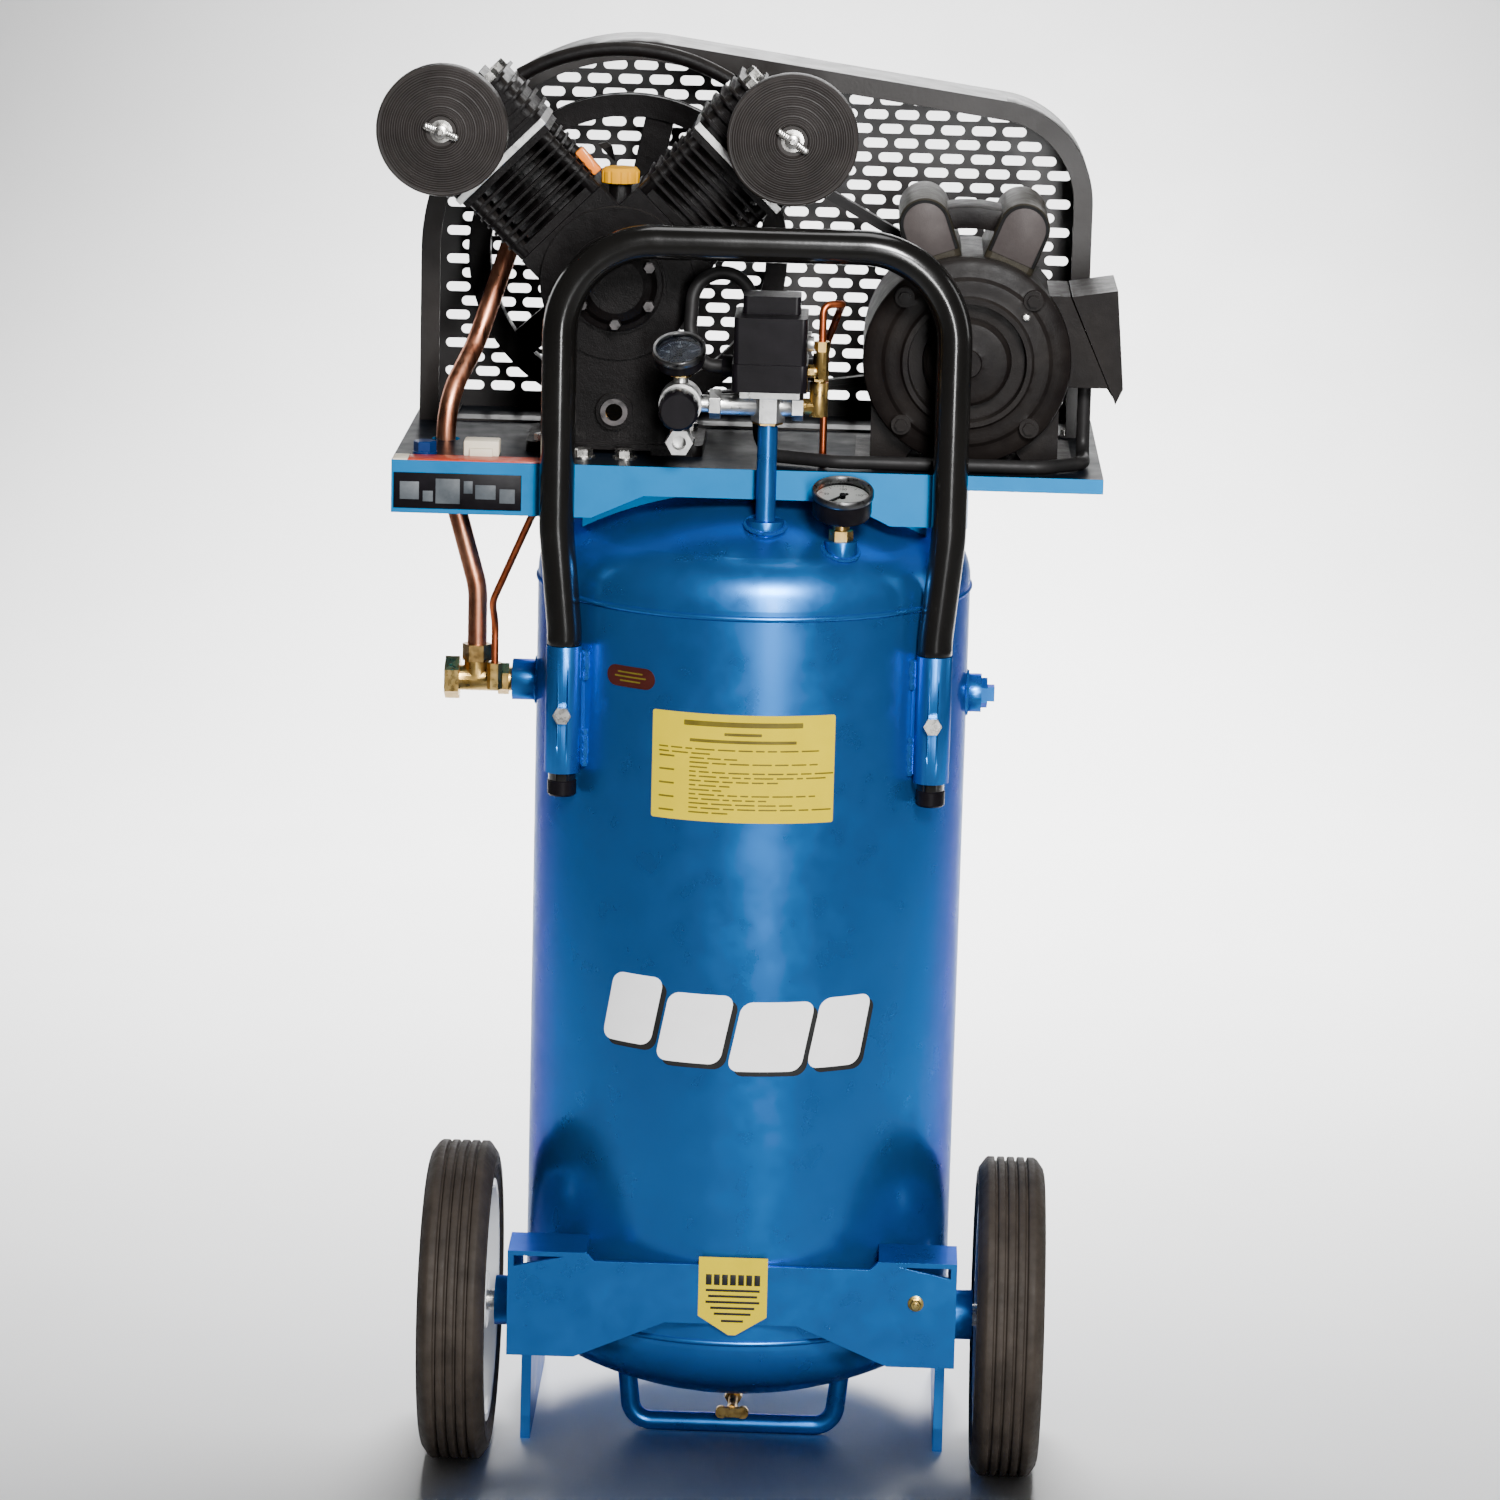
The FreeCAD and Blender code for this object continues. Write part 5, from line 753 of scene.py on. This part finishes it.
# ---------------------------------------------------------------- deck
def make_deck_details():
    """Tape and clamp on the deck's left front, the guard's foot bolt and the pump's foot nuts."""
    front = spot("platform", deep=0).y
    top = spot("platform", up=1).z
    mesh = bmesh.new()
    block(mesh, (TAPE_LEFT, front - 0.2, top - 0.1), (TAPE_RIGHT, front + TAPE_DEPTH, top + 0.9),
          0.3)
    add_piece("deck_tape", mesh, RED_ORANGE)
    mesh = bmesh.new()
    block(mesh, (TAPE_END_LEFT, front - 0.2, top - 0.1), (TAPE_LEFT, front + TAPE_DEPTH, top + 1.1),
          0.4)
    add_piece("deck_tape_end", mesh, CREAM)
    mesh = bmesh.new()
    block(mesh, (CLAMP_LEFT, front + 25, top), (CLAMP_RIGHT, front + 45, top + 13), 1.6)
    block(mesh, (CLAMP_LEFT + 5, front + 22, top), (CLAMP_RIGHT - 5, front + 26, top + 7), 0.8)
    add_piece("tube_clamp", mesh, CREAM)
    mesh = bmesh.new()
    at = Vector((GUARD_BOLT_X, front + GUARD_BOLT_IN, top))
    lathe(mesh, [(0, 0), (10, 0), (10, 1.6), (0, 1.6)], at, (0, 0, 1), 32)
    hexagon(mesh, at + Vector((0, 0, 1.4)), (0, 0, 1), 16, 9)
    add_piece("deck_foot_bolt", mesh, DARK_BLUE)
    foot = spot("crankcase", deep=0).y
    mesh = bmesh.new()
    for across in FOOT_NUTS:
        at = Vector((PUMP_X + across, foot - FOOT_NUT_OUT, top))
        lathe(mesh, [(0, 0), (10, 0), (10, 1.8), (0, 1.8)], at, (0, 0, 1), 32)
        hexagon(mesh, at + Vector((0, 0, 1.6)), (0, 0, 1), 14, 6)
    add_piece("pump_foot_nuts", mesh, ZINC)


# ---------------------------------------------------------------- air filters
def make_air_filters():
    """Round moulded intake housings with fine concentric ridges and a wing nut."""
    low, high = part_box("air_filters")
    radius = (high.z - low.z) / MM / 2 - 0.6
    y_back = (high.y - TANK_AXIS.y) / MM
    depth = FILTER_DEPTH
    housings, nuts = bmesh.new(), bmesh.new()
    for side in (-1, 1):
        x = PUMP_X + side * FILTER_OUT
        z = PUMP_Z + FILTER_UP
        centre = (x, y_back, z)
        profile = [(0, 0), (radius - 3, 0), (radius - 2, 1), (radius - 2, 15)]
        profile += [(radius - 2.6, 15.6), (radius - 2.6, 17), (radius, 17.4), (radius, depth - 10)]
        profile += [(radius - 0.5, depth - 8.4), (radius - 1.8, depth - 7.6)]
        for k in range(FILTER_RINGS):
            r = radius - 2.6 - k * (radius - 16) / FILTER_RINGS
            rise = depth - 7.6 + 7.0 * (1 - (r / radius) ** 1.3)
            step = 1.0 if k % 4 == 3 else 0.0
            profile += [(r, rise - 0.55), (r - 0.55, rise + 0.25)]
            profile += [(r - 1.15, rise + 0.25), (r - 1.5, rise - 0.55 + step)]
        profile += [(13.0, depth - 1.8), (12.0, depth - 4.2), (0, depth - 4.2)]
        lathe(housings, profile, centre, (0, -1, 0), 96)
        nut_start = Vector((x, y_back - depth + 5.0, z))
        nut = [(0, 0), (9, 0), (9, 1.0), (6.4, 1.2), (5.6, 5.5), (4.2, 6.4), (0, 6.4)]
        stud = [(0, 0), (2.4, 0), (2.4, 3.2), (1.9, 3.8), (0, 3.8)]
        lathe(nuts, nut, nut_start, (0, -1, 0), 32)
        lathe(nuts, stud, nut_start + Vector((0, -6.2, 0)), (0, -1, 0), 24)
        lean = math.radians(20 if side < 0 else 35)
        for wing in (-1, 1):
            for share in range(5):
                reach = wing * (5.0 + share * 1.9)
                way = Vector((reach * math.cos(lean), -4.6 - share * 0.35, -reach * math.sin(lean)))
                ball(nuts, nut_start + way, 3.4 - 0.15 * share, (1, 0.5, 1))
    piece = add_piece("air_filter_housings", housings, FILTER_BLACK)
    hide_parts("air_filters")
    add_piece("filter_wing_nuts", nuts, ZINC)


# ---------------------------------------------------------------- gauges
def number_mesh(mesh, text, at, turn, size):
    """Adds the outline of one number, flat, to a mesh."""
    curve = bpy.data.curves.new("number", "FONT")
    curve.body = text
    curve.size = size * MM
    curve.align_x, curve.align_y = "CENTER", "CENTER"
    curve.extrude = 0.05 * MM
    holder = bpy.data.objects.new("number", curve)
    bpy.context.scene.collection.objects.link(holder)
    data = bpy.data.meshes.new_from_object(holder)
    data.transform(turn @ Matrix.Translation(Vector(at) * MM))
    mesh.from_mesh(data)
    bpy.data.objects.remove(holder)
    bpy.data.meshes.remove(data)


def make_gauge(word, radius, depth, top_value):
    """Case with rolled rim, printed dial and flat lens; the needle is a CAD node."""
    joint = word + "_needle_turn"
    start, way = hub(joint), facing(joint)
    matrix = turned(start, way)
    mesh = bmesh.new()
    wall = [(0, 0), (radius * 0.5, 0), (radius * 0.62, 1.5), (radius - 2.4, 5),
            (radius - 1.4, 7.5), (radius - 1.4, depth - 6), (radius - 3, depth - 5),
            (radius - 3, 6.2), (0, 6.2)]
    lathe(mesh, wall, start, way, 72)
    case = add_piece(word + "_gauge_case", mesh, SWITCH_BLACK)
    mesh = bmesh.new()
    rim = [(radius - 3.4, depth - 6.0), (radius - 0.6, depth - 6.0), (radius, depth - 5),
           (radius, depth - 1.2), (radius - 0.8, depth), (radius - 2.6, depth - 0.3),
           (radius - 3.4, depth - 1.6), (radius - 3.4, depth - 6.0)]
    lathe(mesh, rim, start, way, 72)
    add_piece(word + "_gauge_rim", mesh, RIM_GREY)
    mesh = bmesh.new()
    face = depth - 8.0
    dial = [(0, face - 1), (radius - 3.1, face - 1), (radius - 3.1, face), (0, face)]
    lathe(mesh, dial, start, way, 72)
    add_piece(word + "_gauge_dial", mesh, DIAL_WHITE if word == "tank" else DIAL_DARK)
    mesh = bmesh.new()
    for k in range(DIAL_TICKS + 1):
        a = math.radians(DIAL_START - DIAL_SWEEP * k / DIAL_TICKS)
        long = k % 5 == 0
        outer, inner = radius - 4.2, radius - (8.2 if long else 6.2)
        half = 0.32 if long else 0.16
        turn = matrix @ Matrix.Rotation(a, 4, "Z")
        corners = []
        for x, y in ((-half, inner), (half, inner), (half, outer), (-half, outer)):
            corners.append(mesh.verts.new(turn @ (Vector((x, y, face + PRINT_LIFT)) * MM)))
        mesh.faces.new(corners)
    for k in range(DIAL_STEPS + 1):
        a = math.radians(DIAL_START - DIAL_SWEEP * k / DIAL_STEPS)
        at = (-(radius - 11) * math.sin(a), (radius - 11) * math.cos(a), face + PRINT_LIFT)
        number_mesh(mesh, str(round(top_value * k / DIAL_STEPS)), at, matrix, radius * 0.17)
    add_piece(word + "_gauge_print", mesh, INK if word == "tank" else DIAL_WHITE)
    mesh = bmesh.new()
    lens = [(0, depth - 2.9), (radius - 3.3, depth - 2.9), (radius - 3.3, depth - 2.0),
            (0, depth - 1.6)]
    lathe(mesh, lens, start, way, 72)
    add_piece(word + "_gauge_lens", mesh, GLASS if word == "tank" else DARK_GLASS)
    return case


def make_gauges():
    """Both gauges, and the brass stems under them."""
    tank_case = make_gauge("tank", radius=25.0, depth=27.0, top_value=200)
    make_gauge("outlet", radius=21.5, depth=20.0, top_value=160)
    mesh = bmesh.new()
    foot = Vector((*GAUGE_FOOT, dome_height(*GAUGE_FOOT)))
    lathe(mesh, [(6.9, -2), (6.9, 24), (0, 24)], foot, (0, 0, 1), 32)
    hexagon(mesh, foot + Vector((0, 0, 8)), (0, 0, 1), 17, 9)
    lathe(mesh, [(5, 0), (5, 13), (0, 13)], (REGULATOR_X, RISER_Y, MANIFOLD_Z + 20), (0, 0, 1), 32)
    hexagon(mesh, (REGULATOR_X, RISER_Y, MANIFOLD_Z + 21), (0, 0, 1), 14, 7)
    add_piece("gauge_stems", mesh, BRASS)
    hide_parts("gauge_cases")


# ---------------------------------------------------------------- pump
def make_pump_details():
    """The bearing cover's screws, and the orange tag beside the oil cap."""
    cover = spot("bearing_cover", deep=0)
    low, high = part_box("bearing_cover")
    radius = (high.x - low.x) / MM / 2
    mesh = bmesh.new()
    for k in range(6):
        a = math.radians(30 + 60 * k)
        out = radius - COVER_SCREW_INSET
        at = cover + Vector((out * math.cos(a), 3.0, out * math.sin(a)))
        hexagon(mesh, at, (0, -1, 0), 9, 5)
    add_piece("cover_screws", mesh, DARK_ZINC)
    mesh = bmesh.new()
    at = place(PUMP_X - TAG_LEFT, spot("oil_cap").y, PUMP_Z + TAG_UP)
    lean = Matrix.Translation(at) @ Matrix.Rotation(TAG_LEAN, 4, "Y")
    block(mesh, (-5, -5, -12), (3, 5, 12), 1.5, lean)
    add_piece("fill_tag", mesh, ORANGE_PLASTIC)


def make_fittings():
    """The nipple and nut between the riser and the manifold."""
    mesh = bmesh.new()
    nipple = [(0, 0), (7.2, 0), (7.8, 1), (7.8, 22), (7.2, 23), (0, 23)]
    lathe(mesh, nipple, (RISER_X, RISER_Y - 0.1, MANIFOLD_Z - 17), (0, 0, 1), 32)
    hexagon(mesh, (RISER_X, RISER_Y, MANIFOLD_Z - 15), (0, 0, 1), 21, 9)
    add_piece("manifold_nipple", mesh, BRASS)


# ---------------------------------------------------------------- motor
def make_motor_details():
    """Bright earth screw, the capacitor covers' front panels with a black outline of painted shade
    in the gap round each, and the band that joins the covers.
    """
    front = spot("motor_endbells", deep=0).y
    mesh = bmesh.new()
    at = (MOTOR_X + GROUND_SCREW_R * math.cos(GROUND_SCREW_ANGLE), front + GROUND_SCREW_IN,
          MOTOR_Z + GROUND_SCREW_R * math.sin(GROUND_SCREW_ANGLE))
    lathe(mesh, [(0, 0), (3.2, 0), (3.2, 1.2), (2.2, 2.2), (0, 2.4)], at, (0, -1, 0), 24)
    add_piece("motor_ground_screw", mesh, ZINC)
    gap_shade, panels = bmesh.new(), bmesh.new()
    cover_front = spot("capacitor_covers", deep=0).y
    middle = Matrix.Translation(place(MOTOR_X, cover_front, MOTOR_Z))
    for angle in CAPACITOR_ANGLES:
        turn = middle @ Matrix.Rotation(math.radians(angle), 4, "Y")
        for mesh, half, lift in ((gap_shade, COVER_GAP_HALF, 0.5), (panels, COVER_PANEL_HALF, 1.2)):
            outline = [(-half, COVER_FOOT), (half, COVER_FOOT)]
            for degrees in range(0, 181, 10):
                a = math.radians(degrees)
                outline.append((half * math.cos(a), COVER_HEAD + half * math.sin(a)))
            plate_of(mesh, outline, turn, -lift, 0.2)
    # The black outline round each panel is painted shade in the gap between panel and cover.
    add_piece("cover_panel_gap_shade", gap_shade, GAP_SHADE_BLACK)
    add_piece("cover_panels", panels, PANEL_GREY)
    mesh = bmesh.new()
    turn = Matrix.Translation(place(MOTOR_X, cover_front + BRIDGE_IN, MOTOR_Z))
    arc = []
    for r, way in ((BRIDGE_OUTER, 1), (BRIDGE_INNER, -1)):
        for degrees in range(-16 * way, 20 * way, 4 * way):
            a = math.radians(degrees)
            arc.append((r * math.sin(a), r * math.cos(a)))
    plate_of(mesh, arc, turn, 0, BRIDGE_DEPTH)
    add_piece("cover_bridge", mesh, MOTOR_BLACK)


# ---------------------------------------------------------------- floor, lights, camera
def make_floor():
    """A pale sweep: flat under the object, curving up far behind it."""
    mesh = bmesh.new()
    front, bend, radius, top, steps = -7.0, 2.2, 2.0, 7.0, 16
    profile = [(front, 0.0), (bend, 0.0)]
    for k in range(1, steps + 1):
        a = math.radians(90 * k / steps)
        profile.append((bend + radius * math.sin(a), radius * (1 - math.cos(a))))
    profile.append((bend + radius, top))
    rows = [[mesh.verts.new((x, y, z)) for x in (-9.0, 9.0)] for y, z in profile]
    for low, high in zip(rows, rows[1:]):
        mesh.faces.new((low[0], low[1], high[1], high[0])).smooth = True
    data = bpy.data.meshes.new("floor")
    mesh.to_mesh(data)
    mesh.free()
    floor = bpy.data.objects.new("floor", data)
    bpy.context.scene.collection.objects.link(floor)
    g = Graph("pale_floor")
    g.colour(g.ramp(g.noise(2.0, 3), [(0.3, (0.86, 0.86, 0.86)), (0.7, (0.90, 0.90, 0.90))]))
    g.roughness(g.grey(g.noise(9, 3), 0.55, 0.7))
    floor.data.materials.append(g.material)
    return floor


def area_light(name, where, target, size, power):
    """A rectangular lamp that points from one place, in metres, to another."""
    data = bpy.data.lights.new(name, "AREA")
    data.shape = "RECTANGLE"
    data.size, data.size_y = size
    data.energy = power
    lamp = bpy.data.objects.new(name, data)
    lamp.location = where
    lamp.rotation_euler = (Vector(target) - Vector(where)).to_track_quat("-Z", "Y").to_euler()
    bpy.context.scene.collection.objects.link(lamp)
    return lamp


def make_lights(floor):
    """Soft lamps for the object alone, one lamp for everything, and one for the floor alone."""
    without_floor = bpy.data.collections.new("without_floor")
    without_floor.objects.link(floor)
    without_floor.collection_objects[0].light_linking.link_state = "EXCLUDE"
    lamps = (
        area_light("key", (0.70, -3.3, 2.7), (0, 0, 0.75), (0.8, 0.8), 300),
        area_light("front", (0.75, -3.9, 1.1), (0, 0, 0.55), (0.40, 1.7), 100),
        area_light("right", (3.2, 0.4, 1.7), (0, 0, 0.6), (0.7, 2.0), 14),
        area_light("left_rim", (-2.4, 2.4, 1.6), (0, 0, 0.7), (0.8, 2.0), 20),
        area_light("back", (0.4, 3.4, 2.2), (0, 0, 0.8), (2.0, 1.4), 50),
    )
    for lamp in lamps:
        lamp.light_linking.receiver_collection = without_floor
    area_light("top", (0.2, 0.5, 3.6), (0, 0, 0.8), (1.4, 1.2), 22)
    wash = area_light("floor_wash", (0.1, 2.5, 3.2), (0.1, 2.2, 0.0), (1.5, 3.0), 165)
    wash.data.spread = math.radians(75)
    only_floor = bpy.data.collections.new("only_floor")
    only_floor.objects.link(floor)
    wash.light_linking.receiver_collection = only_floor
    world = bpy.data.worlds.new("studio")
    world.use_nodes = True
    sky = world.node_tree.nodes["Background"]
    sky.inputs["Color"].default_value = (1, 1, 1, 1)
    sky.inputs["Strength"].default_value = 0.05
    bpy.context.scene.world = world


def make_camera():
    """A long lens a little above the handle, turned slightly about its own axis."""
    distance, height = 4.40, 1.565
    yaw, pitch, roll = math.radians(1.2), math.radians(12.55), math.radians(1.46)
    data = bpy.data.cameras.new("camera")
    data.lens = 130.3
    data.sensor_width = 36.0
    camera = bpy.data.objects.new("camera", data)
    back = Vector((distance * math.sin(yaw), -distance * math.cos(yaw), height))
    camera.location = TANK_AXIS + back
    turn = Matrix.Rotation(yaw, 3, "Z") @ Matrix.Rotation(math.radians(90) - pitch, 3, "X")
    camera.rotation_euler = (turn @ Matrix.Rotation(roll, 3, "Z")).to_euler()
    bpy.context.scene.collection.objects.link(camera)
    bpy.context.scene.camera = camera


finish_nodes()
repaint_parts()
make_front_decal()
make_instruction_label()
make_oval_plate()
make_bracket_label()
make_model_plate()
make_welds()
make_bracket_screw()
make_end_caps()
make_wheel_details()
make_deck_details()
make_air_filters()
make_gauges()
make_pump_details()
make_fittings()
make_motor_details()
make_lights(make_floor())
make_camera()
